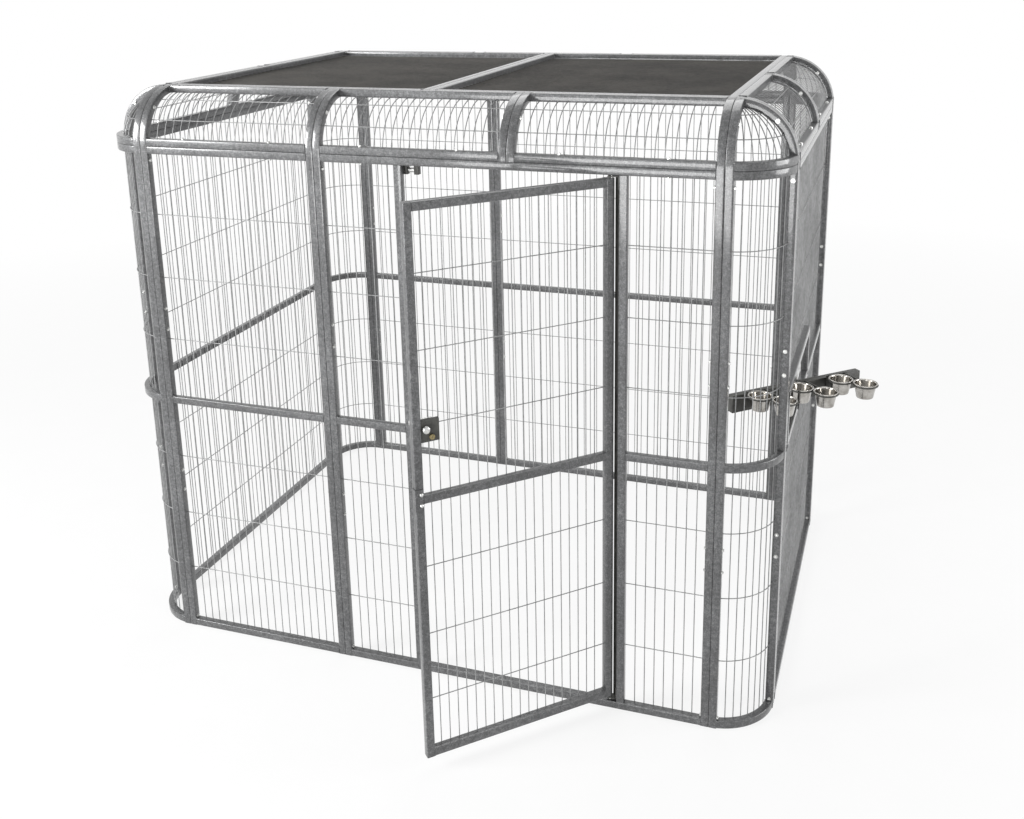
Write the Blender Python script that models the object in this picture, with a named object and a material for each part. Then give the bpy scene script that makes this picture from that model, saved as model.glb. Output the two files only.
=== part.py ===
"""Walk-in aviary: a bolted cage of square tube and welded wire.

Metres, +Z up.  The front, with the door, faces -Y; the feeder is on the +X side.
The origin is on the floor, under the middle of the front sill.  Every piece hangs from
the empty cage_middle, which stands on the floor in the middle of the cage.
"""

from itertools import product
from math import acos, asin, cos, degrees, pi, radians, sin, sqrt

import bmesh
import bpy
from mathutils import Vector

# The cage: three modules wide, two modules deep, with quarter-round corners and top edge
TUBE = 0.025
BEND_RADIUS = 0.180
MODULE = 0.632
WALL_HEIGHT = 1.765
MID_RAIL_Z = 0.8825
MID_RAIL_DEPTH = 0.020
MODULES_WIDE = 3
MODULES_DEEP = 2
GAP = 0.0003

# Welded wire, drawn with three flat sides; the upright wires run behind the mid rail
WIRE_HALF = 0.0020
WIRE_HEIGHT = 0.0034
WIRE_PITCH = 0.059
CROSS_WIRES = 3
CORNER_GAPS = 4
FACETS = 4
WIRE_BITE = 0.010

# Door: leaf, doorway and how far it stands open
DOORWAY = 0.672
LEAF_WIDTH = 0.640
LEAF_BOTTOM = 0.043
LEAF_TOP = 1.732
HINGE_PLAY = 0.015
HINGE_INSET = 0.006
DOOR_OPEN = 45.6

# Hinge brackets on the jamb, below and above the leaf, and the pins that stand in them
PIN_RADIUS = 0.003
PIN_PLAY = 0.0004
BRACKET_THICK = 0.003
BRACKET_REACH = 0.012
BRACKET_LEG = 0.040
BRACKET_BOTTOM_Z = 0.035
BRACKET_TOP_Z = 1.735
PIN_BOTTOM_Z = 0.030
PIN_TOP_Z = 1.7395

# Strip behind the gap at the hinge jamb, stepped so that it clears the leaf
STRIP_HALF = 0.016
STRIP_THICK = 0.003
STRIP_STEP = 0.0015
STRIP_Z = (0.030, 1.735)

# Door lock, on a plate beside the free stile
LOCK_PLATE = (0.0547, 0.0650)
LOCK_PLATE_Z = 1.053
LOCK_CASE_FACE = 0.004
LOCK_CASE_BACK = 0.016
KEY_AT = (0.031, 0.0145)
KEY_RADIUS = 0.008
KEY_PROUD = 0.003
SPINDLE_AT = (0.0375, 1.0935)
SPINDLE_RADIUS = 0.003
SPINDLE_HOLE = 0.0036
KNOB_PROFILE = ((0.006, 0.0037), (0.006, -0.001), (0.011, -0.003), (0.011, -0.009), (0.008, -0.012))
PINION_RADIUS = 0.0092
PINION_DEPTH = (0.0255, 0.0305)
BOLT_THICK = 0.006
BOLT_HIGH = 0.012
BOLT_LENGTH = 0.068
GUIDE_X = (0.006, 0.018)
GUIDE_THICK = 0.002
GUIDE_FOOT = 0.010
GUIDE_PLAY = 0.0005
GUIDE_ARCH = 0.0068

# Catch at half height and keeper under the header
CATCH_Z = (0.852, 0.918)
CATCH_WIDE = 0.023
CATCH_BACK = 0.020
CATCH_THICK = 0.002
STUD_AT = 0.016
STUD_PROFILE = ((0.0055, -0.001), (0.0055, -0.004), (0.0035, -0.0075))
STRIKE_Z = (0.845, 0.910)
STRIKE_DEPTH = (0.002, 0.023)
STRIKE_THICK = 0.003
KEEPER_X = (-0.024, 0.027)
KEEPER_Z = (1.709, 1.752)
KEEPER_PLATE = 0.004
KEEPER_EAR = (0.015, 0.018, 0.035)
KEEPER_STUD = (0.008, 0.010, 0.013)

# Revolving feeder: a beam on an upright pin in a slot of the side wall
PIVOT_Y = -0.254
SLOT_HALF = 0.302
SLOT_TOP = 1.030
FEEDER_TURN = 43.4
BEAM_HALF = 0.2565
BEAM_Z = (0.905, 0.964)
PIVOT_RADIUS = 0.005
BORE_RADIUS = 0.0054
PIVOT_BASE_HALF = 0.020
PIVOT_BASE_THICK = 0.004
PIVOT_BASE_DROP = 0.020
WASHER_RADIUS = 0.010
HOLDER_PLATE_X = (-0.022, 0.065)
HOLDER_PLATE_THICK = 0.003
ARM_HALF = 0.003
ARM_OFFSET = 0.008
HOLDER_PITCH = 0.160
HOLDER_START = -0.185
RING_STEP = (0.045, 0.0673)
RING_ROW = 0.0605
RING_INNER = 0.0365
RING_OUTER = 0.0415
RING_Z = (0.965, 0.970)
CUP_LIP = 0.0395
CUP_TOP = 0.0355
CUP_BASE = 0.027
CUP_WALL = 0.0015
CUP_DEPTH = 0.047
CUP_ROLL = 0.003
ROUND_SIDES = 10

WIDTH = MODULES_WIDE * MODULE + 2 * BEND_RADIUS
DEPTH = MODULES_DEEP * MODULE + 2 * BEND_RADIUS
HEIGHT = WALL_HEIGHT + BEND_RADIUS
HALF_GAP = GAP / 2
END_ANGLE = degrees(asin(TUBE / BEND_RADIUS))
LEFT = -WIDTH / 2
FRONT = -DEPTH / 2
PANEL_LEFT = LEFT + BEND_RADIUS
DOOR_MIDDLE = PANEL_LEFT + (MODULES_WIDE - 1) * MODULE
LATCH_JAMB = DOOR_MIDDLE - DOORWAY / 2
HINGE_JAMB = DOOR_MIDDLE + DOORWAY / 2
HINGE_X = HINGE_JAMB - HINGE_PLAY - HINGE_INSET
HINGE_Y = FRONT + HINGE_INSET
FREE_EDGE = HINGE_INSET - LEAF_WIDTH
LEAF_FACE = -HINGE_INSET
WIRE_DEPTH = MID_RAIL_DEPTH + GAP
CURVED_WIRE_DEPTH = 0.0218


def clear_scene():
    for obj in list(bpy.data.objects):
        bpy.data.objects.remove(obj)


def finish(name, colour, metallic, roughness):
    """A plain paint or metal, named after what it covers."""
    material = bpy.data.materials.new(name)
    material.use_nodes = True
    shader = material.node_tree.nodes["Principled BSDF"]
    shader.inputs["Base Color"].default_value = (*colour, 1.0)
    shader.inputs["Metallic"].default_value = metallic
    shader.inputs["Roughness"].default_value = roughness
    return material


def to_object(name, bm, material):
    bmesh.ops.recalc_face_normals(bm, faces=bm.faces)
    mesh = bpy.data.meshes.new(name)
    bm.to_mesh(mesh)
    bm.free()
    mesh.materials.append(material)
    obj = bpy.data.objects.new(name, mesh)
    bpy.context.scene.collection.objects.link(obj)
    return obj


def put(obj, parent, location=(0.0, 0.0, 0.0), turn=0.0):
    """Place a finished piece: turn is in degrees about the upright axis."""
    obj.parent = parent
    obj.location = location
    obj.rotation_euler = (0.0, 0.0, radians(turn))
    return obj


def empty(name, parent, location, turn=0.0):
    obj = bpy.data.objects.new(name, None)
    bpy.context.scene.collection.objects.link(obj)
    return put(obj, parent, location, turn)


def combine(obj, bm, operation="UNION"):
    """Weld the solids of bm to the piece, or cut them out of it."""
    tool = to_object(obj.name + "_tool", bm, obj.data.materials[0])
    step = obj.modifiers.new(operation.title(), "BOOLEAN")
    step.operation = operation
    step.solver = "EXACT"
    step.object = tool
    graph = bpy.context.evaluated_depsgraph_get()
    result = bpy.data.meshes.new_from_object(obj.evaluated_get(graph))
    obj.modifiers.clear()
    obj.data = result
    bpy.data.objects.remove(tool)
    return obj


def skin(bm, rings):
    """Cover a row of rings, each of the same number of points, and close both ends."""
    rows = [[bm.verts.new(point) for point in ring] for ring in rings]
    count = len(rows[0])
    for low, high in zip(rows, rows[1:]):
        for n in range(count):
            m = (n + 1) % count
            bm.faces.new((low[n], low[m], high[m], high[n]))
    bm.faces.new(rows[0][::-1])
    bm.faces.new(rows[-1])


def block(bm, low, high):
    """A square-cut block between two opposite corners."""
    (x0, y0, z0), (x1, y1, z1) = low, high
    foot = [Vector((x, y, z0)) for x, y in ((x0, y0), (x1, y0), (x1, y1), (x0, y1))]
    skin(bm, [foot, [point + Vector((0, 0, z1 - z0)) for point in foot]])


def circle(centre, radius, axis="z"):
    """Points of a ring about an axis through centre."""
    points = []
    for n in range(ROUND_SIDES):
        a = radius * cos(2 * pi * (n + 0.5) / ROUND_SIDES)
        b = radius * sin(2 * pi * (n + 0.5) / ROUND_SIDES)
        offset = {"x": (0, a, b), "y": (a, 0, b), "z": (a, b, 0)}[axis]
        points.append(Vector(centre) + Vector(offset))
    return points


def rod(bm, start, end, radius, axis="z"):
    skin(bm, [circle(start, radius, axis), circle(end, radius, axis)])


def prism(bm, outline, low, high):
    """An outline in plan, drawn up from one height to another."""
    skin(bm, [[Vector((x, y, z)) for x, y in outline] for z in (low, high)])


def band(bm, centre, inner, outer, low, high):
    """A flat ring with a square section."""
    x, y = centre
    rows = []
    for radius, z in ((inner, low), (outer, low), (outer, high), (inner, high)):
        rows.append([bm.verts.new(point) for point in circle((x, y, z), radius)])
    for row, following in zip(rows, rows[1:] + rows[:1]):
        for n in range(ROUND_SIDES):
            m = (n + 1) % ROUND_SIDES
            bm.faces.new((row[n], row[m], following[m], following[n]))


def turned(bm, centre, profile):
    """A turned piece: the profile runs from the axis to the axis, as (radius, height)."""
    x, y = centre
    rows = [[bm.verts.new(p) for p in circle((x, y, up), radius)] for radius, up in profile[1:-1]]
    for row, following in zip(rows, rows[1:]):
        for n in range(ROUND_SIDES):
            m = (n + 1) % ROUND_SIDES
            bm.faces.new((row[n], row[m], following[m], following[n]))
    for row, (_, up) in ((rows[0], profile[0]), (rows[-1], profile[-1])):
        pole = bm.verts.new((x, y, up))
        for n in range(ROUND_SIDES):
            bm.faces.new((row[n], row[(n + 1) % ROUND_SIDES], pole))


def between(low, high, gaps):
    """The places that divide a span into equal gaps."""
    return [low + (high - low) * n / gaps for n in range(1, gaps)]


def gap_count(span):
    return round(span / WIRE_PITCH)


def wire(bm, stations):
    """A three-sided wire through (middle of its flat side, where that side faces, across)."""
    rings = []
    for point, facing, across in stations:
        side = across * WIRE_HALF
        rings.append([point + side, point - side, point - facing * WIRE_HEIGHT])
    skin(bm, rings)


def lattice(bars, place, u_steps=(), v_steps=()):
    """One closed solid from crossing bars.

    A bar is (low u, high u, low v, high v, front, back) in the panel's own flat layout,
    and place(u, v, depth) bends that layout into the piece.  The steps add facets.
    """
    us = sorted({*u_steps, *(edge for bar in bars for edge in bar[:2])})
    vs = sorted({*v_steps, *(edge for bar in bars for edge in bar[2:4])})
    ds = sorted({edge for bar in bars for edge in bar[4:]})
    lines = (us, vs, ds)

    def filled(cell):
        if any(not 0 <= n < len(line) - 1 for n, line in zip(cell, lines)):
            return False
        u, v, d = ((line[n] + line[n + 1]) / 2 for n, line in zip(cell, lines))
        return any(b[0] < u < b[1] and b[2] < v < b[3] and b[4] < d < b[5] for b in bars)

    bm = bmesh.new()
    corners = {}

    def corner(index):
        if index not in corners:
            corners[index] = bm.verts.new(place(us[index[0]], vs[index[1]], ds[index[2]]))
        return corners[index]

    for cell in product(*(range(len(line) - 1) for line in lines)):
        if not filled(cell):
            continue
        for axis, side in product(range(3), (0, 1)):
            beyond = list(cell)
            beyond[axis] += 2 * side - 1
            if filled(beyond):
                continue
            first, second = (n for n in range(3) if n != axis)
            ring = []
            for a, b in ((0, 0), (1, 0), (1, 1), (0, 1)):
                index = list(cell)
                index[axis] += side
                index[first] += a
                index[second] += b
                ring.append(corner(tuple(index)))
            bm.faces.new(ring)
    bmesh.ops.recalc_face_normals(bm, faces=bm.faces)
    bmesh.ops.dissolve_limit(bm, angle_limit=radians(0.02), verts=bm.verts, edges=bm.edges)
    return bm


def flat(u, v, depth):
    """A wall panel stands in x and z, with its outer face at y = 0."""
    return Vector((u, depth, v))


def bend(angle, depth):
    """A point of a quarter-round tube, as (way along, way inward) from its outer face's start.

    The end pieces, up to END_ANGLE, are as wide as a straight tube.
    """
    if angle > 45:
        along, inward = bend(90 - angle, depth)
        return BEND_RADIUS - inward, BEND_RADIUS - along
    radius = BEND_RADIUS - depth
    if angle == 0:
        return HALF_GAP, depth
    if abs(angle - END_ANGLE) < 1e-6:
        return TUBE, BEND_RADIUS - sqrt(radius ** 2 - TUBE ** 2)
    return radius * sin(radians(angle)), BEND_RADIUS - radius * cos(radians(angle))


def around(angle, height, depth):
    along, inward = bend(angle, depth)
    return Vector((along, inward, height))


def overhead(u, angle, depth):
    up, inward = bend(angle, depth)
    return Vector((u, inward, up))


BEND_STEPS = [END_ANGLE, *between(END_ANGLE, 90 - END_ANGLE, FACETS), 90 - END_ANGLE]
Z_AXIS = Vector((0, 0, 1))
X_AXIS = Vector((1, 0, 0))
Y_AXIS = Vector((0, 1, 0))


def cross_heights():
    """Cross wires divide the wire fields above and below the mid rail equally."""
    low = between(TUBE / 2, MID_RAIL_Z, CROSS_WIRES + 1)
    return low + between(MID_RAIL_Z, WALL_HEIGHT - TUBE / 2, CROSS_WIRES + 1)


def upright(bm, x, low, high):
    wire(bm, [(Vector((x, WIRE_DEPTH, z)), -Y_AXIS, X_AXIS) for z in (low, high)])


def crosswise(bm, low, high, z):
    wire(bm, [(Vector((x, MID_RAIL_DEPTH, z)), Y_AXIS, Z_AXIS) for x in (low, high)])


def wire_bay(bm, low, high, bottom, top, heights):
    """Fill the span between two uprights of the frame with wires."""
    for x in between(low, high, gap_count(high - low)):
        upright(bm, x, bottom + WIRE_BITE, top - WIRE_BITE)
    for z in heights:
        crosswise(bm, low - WIRE_BITE, high + WIRE_BITE, z)


def frame_bars(length, bottom, top):
    """Stiles, top and bottom rails, and the thinner mid rail."""
    low, high = HALF_GAP, length - HALF_GAP
    full = (0, TUBE)
    return [
        (low, TUBE, bottom, top, *full),
        (length - TUBE, high, bottom, top, *full),
        (low, high, bottom, bottom + TUBE, *full),
        (low, high, top - TUBE, top, *full),
    ]


def mid_rail(low, high):
    return (low, high, MID_RAIL_Z - TUBE / 2, MID_RAIL_Z + TUBE / 2, 0, MID_RAIL_DEPTH)


def wall(name, length, paint):
    """A plain wall panel."""
    top = WALL_HEIGHT - HALF_GAP
    bars = frame_bars(length, 0, top) + [mid_rail(HALF_GAP, length - HALF_GAP)]
    obj = to_object(name, lattice(bars, flat), paint)
    wires = bmesh.new()
    wire_bay(wires, TUBE, length - TUBE, 0, top, cross_heights())
    return combine(obj, wires)


def door_wall(name, paint):
    """The wide front panel: a doorway between two jambs, and a wired strip on each side."""
    length = (MODULES_WIDE - 1) * MODULE
    top = WALL_HEIGHT - HALF_GAP
    latch_side = length / 2 - DOORWAY / 2
    hinge_side = length / 2 + DOORWAY / 2
    bars = frame_bars(length, 0, top) + [
        (latch_side - TUBE, latch_side, 0, top, 0, TUBE),
        (hinge_side, hinge_side + TUBE, 0, top, 0, TUBE),
        mid_rail(HALF_GAP, latch_side),
        mid_rail(hinge_side, length - HALF_GAP),
    ]
    obj = to_object(name, lattice(bars, flat), paint)
    wires = bmesh.new()
    for low, high in ((TUBE, latch_side - TUBE), (hinge_side + TUBE, length - TUBE)):
        wire_bay(wires, low, high, 0, top, cross_heights())
    return combine(obj, wires)


def feeder_wall(name, paint):
    """The side panel with a framed slot for the feeder, just above the mid rail."""
    length = MODULES_DEEP * MODULE
    top = WALL_HEIGHT - HALF_GAP
    middle = PIVOT_Y - (FRONT + BEND_RADIUS)
    low, high = middle - SLOT_HALF, middle + SLOT_HALF
    rail_low, rail_high = MID_RAIL_Z - TUBE / 2, MID_RAIL_Z + TUBE / 2
    bars = frame_bars(length, 0, top) + [
        mid_rail(HALF_GAP, length - HALF_GAP),
        (low - TUBE, high + TUBE, rail_low, rail_high, 0, TUBE),
        (low - TUBE, low, rail_high, SLOT_TOP, 0, TUBE),
        (high, high + TUBE, rail_high, SLOT_TOP, 0, TUBE),
        (low - TUBE, high + TUBE, SLOT_TOP, SLOT_TOP + TUBE, 0, TUBE),
    ]
    obj = to_object(name, lattice(bars, flat), paint)
    wires = bmesh.new()
    for x in between(TUBE, length - TUBE, gap_count(length - 2 * TUBE)):
        if low - TUBE - WIRE_HALF < x < high + TUBE + WIRE_HALF:
            upright(wires, x, WIRE_BITE, MID_RAIL_Z)
            upright(wires, x, SLOT_TOP + TUBE / 2, top - WIRE_BITE)
        else:
            upright(wires, x, WIRE_BITE, top - WIRE_BITE)
    for z in cross_heights():
        crosswise(wires, TUBE - WIRE_BITE, length - TUBE + WIRE_BITE, z)
    return combine(obj, wires)


def door_leaf(paint):
    """The door leaf lies from its hinge edge at x = 0 back to its free edge."""
    bars = frame_bars(LEAF_WIDTH, LEAF_BOTTOM, LEAF_TOP) + [mid_rail(HALF_GAP, LEAF_WIDTH - HALF_GAP)]
    shift = Vector((FREE_EDGE, LEAF_FACE, 0))
    obj = to_object("door_leaf", lattice(bars, flat), paint)
    wires = bmesh.new()
    wire_bay(wires, TUBE, LEAF_WIDTH - TUBE, LEAF_BOTTOM, LEAF_TOP, cross_heights())
    combine(obj, wires)
    for vertex in obj.data.vertices:
        vertex.co += shift
    return obj


def radial(angle):
    """Outward and sideways directions in plan at an angle round a corner."""
    a = radians(angle)
    return Vector((sin(a), -cos(a), 0)), Vector((cos(a), sin(a), 0))


def corner(name, paint):
    """A quarter-round corner: two stiles, three curved rails and upright wires."""
    top = WALL_HEIGHT - HALF_GAP
    rail_low, rail_high = MID_RAIL_Z - TUBE / 2, MID_RAIL_Z + TUBE / 2
    bars = [
        (0, END_ANGLE, 0, top, 0, TUBE),
        (90 - END_ANGLE, 90, 0, top, 0, TUBE),
        (0, 90, 0, TUBE, 0, TUBE),
        (0, 90, top - TUBE, top, 0, TUBE),
        (0, 90, rail_low, rail_high, 0, MID_RAIL_DEPTH),
    ]
    obj = to_object(name, lattice(bars, around, u_steps=BEND_STEPS), paint)
    wires = bmesh.new()
    centre = Vector((0, BEND_RADIUS, 0))
    angles = between(0, 90, CORNER_GAPS)
    for angle in angles:
        out, side = radial(angle)
        foot = centre + out * (BEND_RADIUS - CURVED_WIRE_DEPTH)
        wire(wires, [(foot + Z_AXIS * z, out, side) for z in (WIRE_BITE, top - WIRE_BITE)])
    for z in cross_heights():
        stations = []
        for angle in (END_ANGLE / 2, *angles, 90 - END_ANGLE / 2):
            out, _ = radial(angle)
            point = centre + out * (BEND_RADIUS - CURVED_WIRE_DEPTH + GAP)
            stations.append((point + Z_AXIS * z, -out, Z_AXIS))
        wire(wires, stations)
    return combine(obj, wires)


ARC_STATIONS = (END_ANGLE / 2, 30, 60, 90 - END_ANGLE / 2)
CROSS_ANGLES = ARC_STATIONS[1:3]


def top_edge(name, paint):
    """A quarter-round length of the top edge: two ribs, two rails and bent wires."""
    high = MODULE - HALF_GAP
    bars = [
        (HALF_GAP, TUBE, 0, 90, 0, TUBE),
        (MODULE - TUBE, high, 0, 90, 0, TUBE),
        (HALF_GAP, high, 0, END_ANGLE, 0, TUBE),
        (HALF_GAP, high, 90 - END_ANGLE, 90, 0, TUBE),
    ]
    obj = to_object(name, lattice(bars, overhead, v_steps=BEND_STEPS), paint)
    wires = bmesh.new()
    centre = Vector((0, BEND_RADIUS, 0))

    def raised(angle):
        return Vector((0, -cos(radians(angle)), sin(radians(angle))))

    for x in between(TUBE, MODULE - TUBE, gap_count(MODULE - 2 * TUBE)):
        middle = centre + X_AXIS * x
        radius = BEND_RADIUS - WIRE_DEPTH
        wire(wires, [(middle + raised(a) * radius, raised(a), X_AXIS) for a in ARC_STATIONS])
    for angle in CROSS_ANGLES:
        out = raised(angle)
        level = centre + out * (BEND_RADIUS - MID_RAIL_DEPTH)
        along = Vector((0, sin(radians(angle)), cos(radians(angle))))
        ends = (TUBE - WIRE_BITE, MODULE - TUBE + WIRE_BITE)
        wire(wires, [(level + X_AXIS * x, -out, along) for x in ends])
    return combine(obj, wires)


def top_corner(name, paint):
    """An eighth of a ball over each upright corner: curved sill, two ribs, fanned wires."""
    rib = [(HALF_GAP, TUBE, 0, 90, 0, TUBE)]
    sill = [(0, 90, 2 * GAP, TUBE, 0, TUBE)]

    def first_rib(u, angle, depth):
        x, y, z = overhead(u, angle, depth)
        return Vector((x, min(y, BEND_RADIUS - GAP), z))

    def second_rib(u, angle, depth):
        x, y, z = overhead(u, angle, depth)
        return Vector((max(BEND_RADIUS - y, TUBE / 2), BEND_RADIUS - x, z))

    def sill_between(angle, height, depth):
        x, y, z = around(angle, height, depth)
        return Vector((max(x, TUBE / 2), min(y, BEND_RADIUS - TUBE / 2), z))

    obj = to_object(name, lattice(rib, first_rib, v_steps=BEND_STEPS), paint)
    combine(obj, lattice(rib, second_rib, v_steps=BEND_STEPS))
    combine(obj, lattice(sill, sill_between, u_steps=BEND_STEPS))
    wires = bmesh.new()
    centre = Vector((0, BEND_RADIUS, 0))
    fan = between(0, 90, CORNER_GAPS)
    radius = BEND_RADIUS - WIRE_DEPTH
    last = degrees(acos((TUBE - GAP) / radius))
    for angle in fan:
        out, side = radial(angle)
        stations = []
        for lift in (*ARC_STATIONS[:3], last):
            facing = out * cos(radians(lift)) + Z_AXIS * sin(radians(lift))
            stations.append((centre + facing * radius, facing, side))
        wire(wires, stations)
    for lift in CROSS_ANGLES:
        ring = (BEND_RADIUS - MID_RAIL_DEPTH) * cos(radians(lift))
        bite = degrees(asin(TUBE / 2 / ring))
        stations = []
        for angle in (bite, *fan, 90 - bite):
            out, _ = radial(angle)
            facing = out * cos(radians(lift)) + Z_AXIS * sin(radians(lift))
            across = Z_AXIS * cos(radians(lift)) - out * sin(radians(lift))
            stations.append((centre + facing * (BEND_RADIUS - MID_RAIL_DEPTH), -facing, across))
        wire(wires, stations)
    return combine(obj, wires)


def roof(name, paint):
    """Half of the flat roof; its wires run across the cage."""
    width = WIDTH / 2 - BEND_RADIUS
    length = DEPTH - 2 * BEND_RADIUS
    low, high, far = HALF_GAP, width - HALF_GAP, length - HALF_GAP
    bars = [
        (low, TUBE, low, far, 0, TUBE),
        (width - TUBE, high, low, far, 0, TUBE),
        (low, high, low, TUBE, 0, TUBE),
        (low, high, length - TUBE, far, 0, TUBE),
    ]

    def lying(u, v, depth):
        return Vector((u, v, -depth))

    obj = to_object(name, lattice(bars, lying), paint)
    wires = bmesh.new()
    for y in between(TUBE, length - TUBE, gap_count(length - 2 * TUBE)):
        ends = (TUBE - WIRE_BITE, width - TUBE + WIRE_BITE)
        wire(wires, [(Vector((x, y, -WIRE_DEPTH)), Z_AXIS, Y_AXIS) for x in ends])
    for x in between(TUBE, width - TUBE, CROSS_WIRES + 1):
        ends = (TUBE - WIRE_BITE, length - TUBE + WIRE_BITE)
        wire(wires, [(Vector((x, y, -MID_RAIL_DEPTH)), -Z_AXIS, X_AXIS) for y in ends])
    return combine(obj, wires)


def build_cage(cage, paint):
    """Six wall panels, four corners, ten top-edge modules, four top corners, two roof panels."""
    right, back = -LEFT, -FRONT
    side_start = FRONT + BEND_RADIUS
    wide = (MODULES_WIDE - 1) * MODULE
    put(wall("wall_front_left", MODULE, paint), cage, (PANEL_LEFT, FRONT, 0))
    put(door_wall("wall_front_door", paint), cage, (PANEL_LEFT + MODULE, FRONT, 0))
    put(wall("wall_back_right", wide, paint), cage, (-PANEL_LEFT, back, 0), 180)
    put(wall("wall_back_left", MODULE, paint), cage, (PANEL_LEFT + MODULE, back, 0), 180)
    put(feeder_wall("wall_right", paint), cage, (right, side_start, 0), 90)
    put(wall("wall_left", MODULES_DEEP * MODULE, paint), cage, (LEFT, -side_start, 0), 270)

    corners = (
        ("front_right", (-PANEL_LEFT, FRONT), 0),
        ("back_right", (right, -side_start), 90),
        ("back_left", (PANEL_LEFT, back), 180),
        ("front_left", (LEFT, side_start), 270),
    )
    for place, (x, y), turn in corners:
        put(corner("corner_" + place, paint), cage, (x, y, 0), turn)
        put(top_corner("top_corner_" + place, paint), cage, (x, y, WALL_HEIGHT), turn)

    for n in range(MODULES_WIDE):
        x = PANEL_LEFT + n * MODULE
        put(top_edge(f"top_edge_front_{n + 1}", paint), cage, (x, FRONT, WALL_HEIGHT))
        put(top_edge(f"top_edge_back_{n + 1}", paint), cage, (x + MODULE, back, WALL_HEIGHT), 180)
    for n in range(MODULES_DEEP):
        y = side_start + n * MODULE
        put(top_edge(f"top_edge_right_{n + 1}", paint), cage, (right, y, WALL_HEIGHT), 90)
        put(top_edge(f"top_edge_left_{n + 1}", paint), cage, (LEFT, y + MODULE, WALL_HEIGHT), 270)
    put(roof("roof_left", paint), cage, (PANEL_LEFT, side_start, HEIGHT))
    put(roof("roof_right", paint), cage, (0, side_start, HEIGHT))


def build_hinges(cage, door, steel):
    """A bracket on the hinge jamb above and below the leaf, and a pin in each."""
    top_of_plate = BRACKET_TOP_Z + BRACKET_THICK
    for place, plate_z, leg_z, pin_z in (
        ("bottom", BRACKET_BOTTOM_Z, (BRACKET_BOTTOM_Z, BRACKET_BOTTOM_Z + BRACKET_LEG),
         (PIN_BOTTOM_Z, LEAF_BOTTOM - GAP)),
        ("top", BRACKET_TOP_Z, (top_of_plate - BRACKET_LEG, top_of_plate),
         (LEAF_TOP + GAP, PIN_TOP_Z)),
    ):
        bm = bmesh.new()
        block(bm, (HINGE_X - BRACKET_REACH, FRONT + GAP, plate_z),
              (HINGE_JAMB - GAP, FRONT + TUBE, plate_z + BRACKET_THICK))
        obj = to_object("hinge_bracket_" + place, bm, steel)
        leg = bmesh.new()
        block(leg, (HINGE_JAMB - GAP - BRACKET_THICK, FRONT + 0.004, leg_z[0]),
              (HINGE_JAMB - GAP, FRONT + TUBE - 0.002, leg_z[1]))
        combine(obj, leg)
        hole = bmesh.new()
        rod(hole, (HINGE_X, HINGE_Y, plate_z - BRACKET_THICK),
            (HINGE_X, HINGE_Y, plate_z + 2 * BRACKET_THICK), PIN_RADIUS + PIN_PLAY)
        combine(obj, hole, "DIFFERENCE")
        put(obj, cage)
        pin = bmesh.new()
        rod(pin, (0, 0, pin_z[0]), (0, 0, pin_z[1]), PIN_RADIUS)
        put(to_object("hinge_pin_" + place, pin, steel), door)


def build_stop_strip(cage, steel):
    """A stepped strip on the hinge jamb that closes the gap behind the leaf."""
    back = FRONT + TUBE
    rear = back + STRIP_STEP + STRIP_THICK
    outline = [
        (HINGE_JAMB - STRIP_HALF, rear),
        (HINGE_JAMB - STRIP_HALF, back + STRIP_STEP),
        (HINGE_JAMB + 0.0005, back + STRIP_STEP),
        (HINGE_JAMB + 0.0005, back + GAP),
        (HINGE_JAMB + STRIP_HALF, back + GAP),
        (HINGE_JAMB + STRIP_HALF, rear),
    ]
    strip = bmesh.new()
    prism(strip, outline, *STRIP_Z)
    put(to_object("door_stop_strip", strip, steel), cage)


def build_keeper(cage, steel, bright):
    """Two ears behind the header, with a round stud between them."""
    back = FRONT + TUBE
    low, high = KEEPER_X
    foot, head = KEEPER_Z
    wide, deep, tall = KEEPER_EAR
    plate = bmesh.new()
    block(plate, (low, back + GAP, foot + 0.030), (high, back + KEEPER_PLATE, head))
    obj = to_object("keeper_bracket", plate, steel)
    for start in (low, high - wide):
        ear = bmesh.new()
        block(ear, (start, back + GAP, foot), (start + wide, back + deep, foot + tall))
        combine(obj, ear)
    put(obj, cage)
    radius, depth, rise = KEEPER_STUD
    stud = bmesh.new()
    rod(stud, (low + wide + GAP, back + depth, foot + rise),
        (high - wide - GAP, back + depth, foot + rise), radius, "x")
    put(to_object("keeper_stud", stud, bright), cage)


def build_strike(cage, bright):
    """The plate on the latch jamb that the catch of the closed leaf faces."""
    strike = bmesh.new()
    near, far = STRIKE_DEPTH
    block(strike, (LATCH_JAMB + GAP, FRONT + near, STRIKE_Z[0]),
          (LATCH_JAMB + STRIKE_THICK, FRONT + far, STRIKE_Z[1]))
    put(to_object("catch_strike", strike, bright), cage)


def build_catch(door, bright):
    """An angle plate round the edge of the free stile, with two domed bolts on its face."""
    face = bmesh.new()
    block(face, (FREE_EDGE - CATCH_THICK, LEAF_FACE - CATCH_THICK, CATCH_Z[0]),
          (FREE_EDGE + CATCH_WIDE, LEAF_FACE - GAP, CATCH_Z[1]))
    obj = to_object("door_catch", face, bright)
    edge = bmesh.new()
    block(edge, (FREE_EDGE - CATCH_THICK, LEAF_FACE - CATCH_THICK / 2, CATCH_Z[0]),
          (FREE_EDGE - GAP, LEAF_FACE + CATCH_BACK, CATCH_Z[1]))
    combine(obj, edge)
    for z in between(*CATCH_Z, 4)[::2]:
        stud = bmesh.new()
        skin(stud, [circle((FREE_EDGE + STUD_AT, LEAF_FACE + depth, z), radius, "y")
                    for radius, depth in STUD_PROFILE])
        combine(obj, stud)
    put(obj, door)


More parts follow.
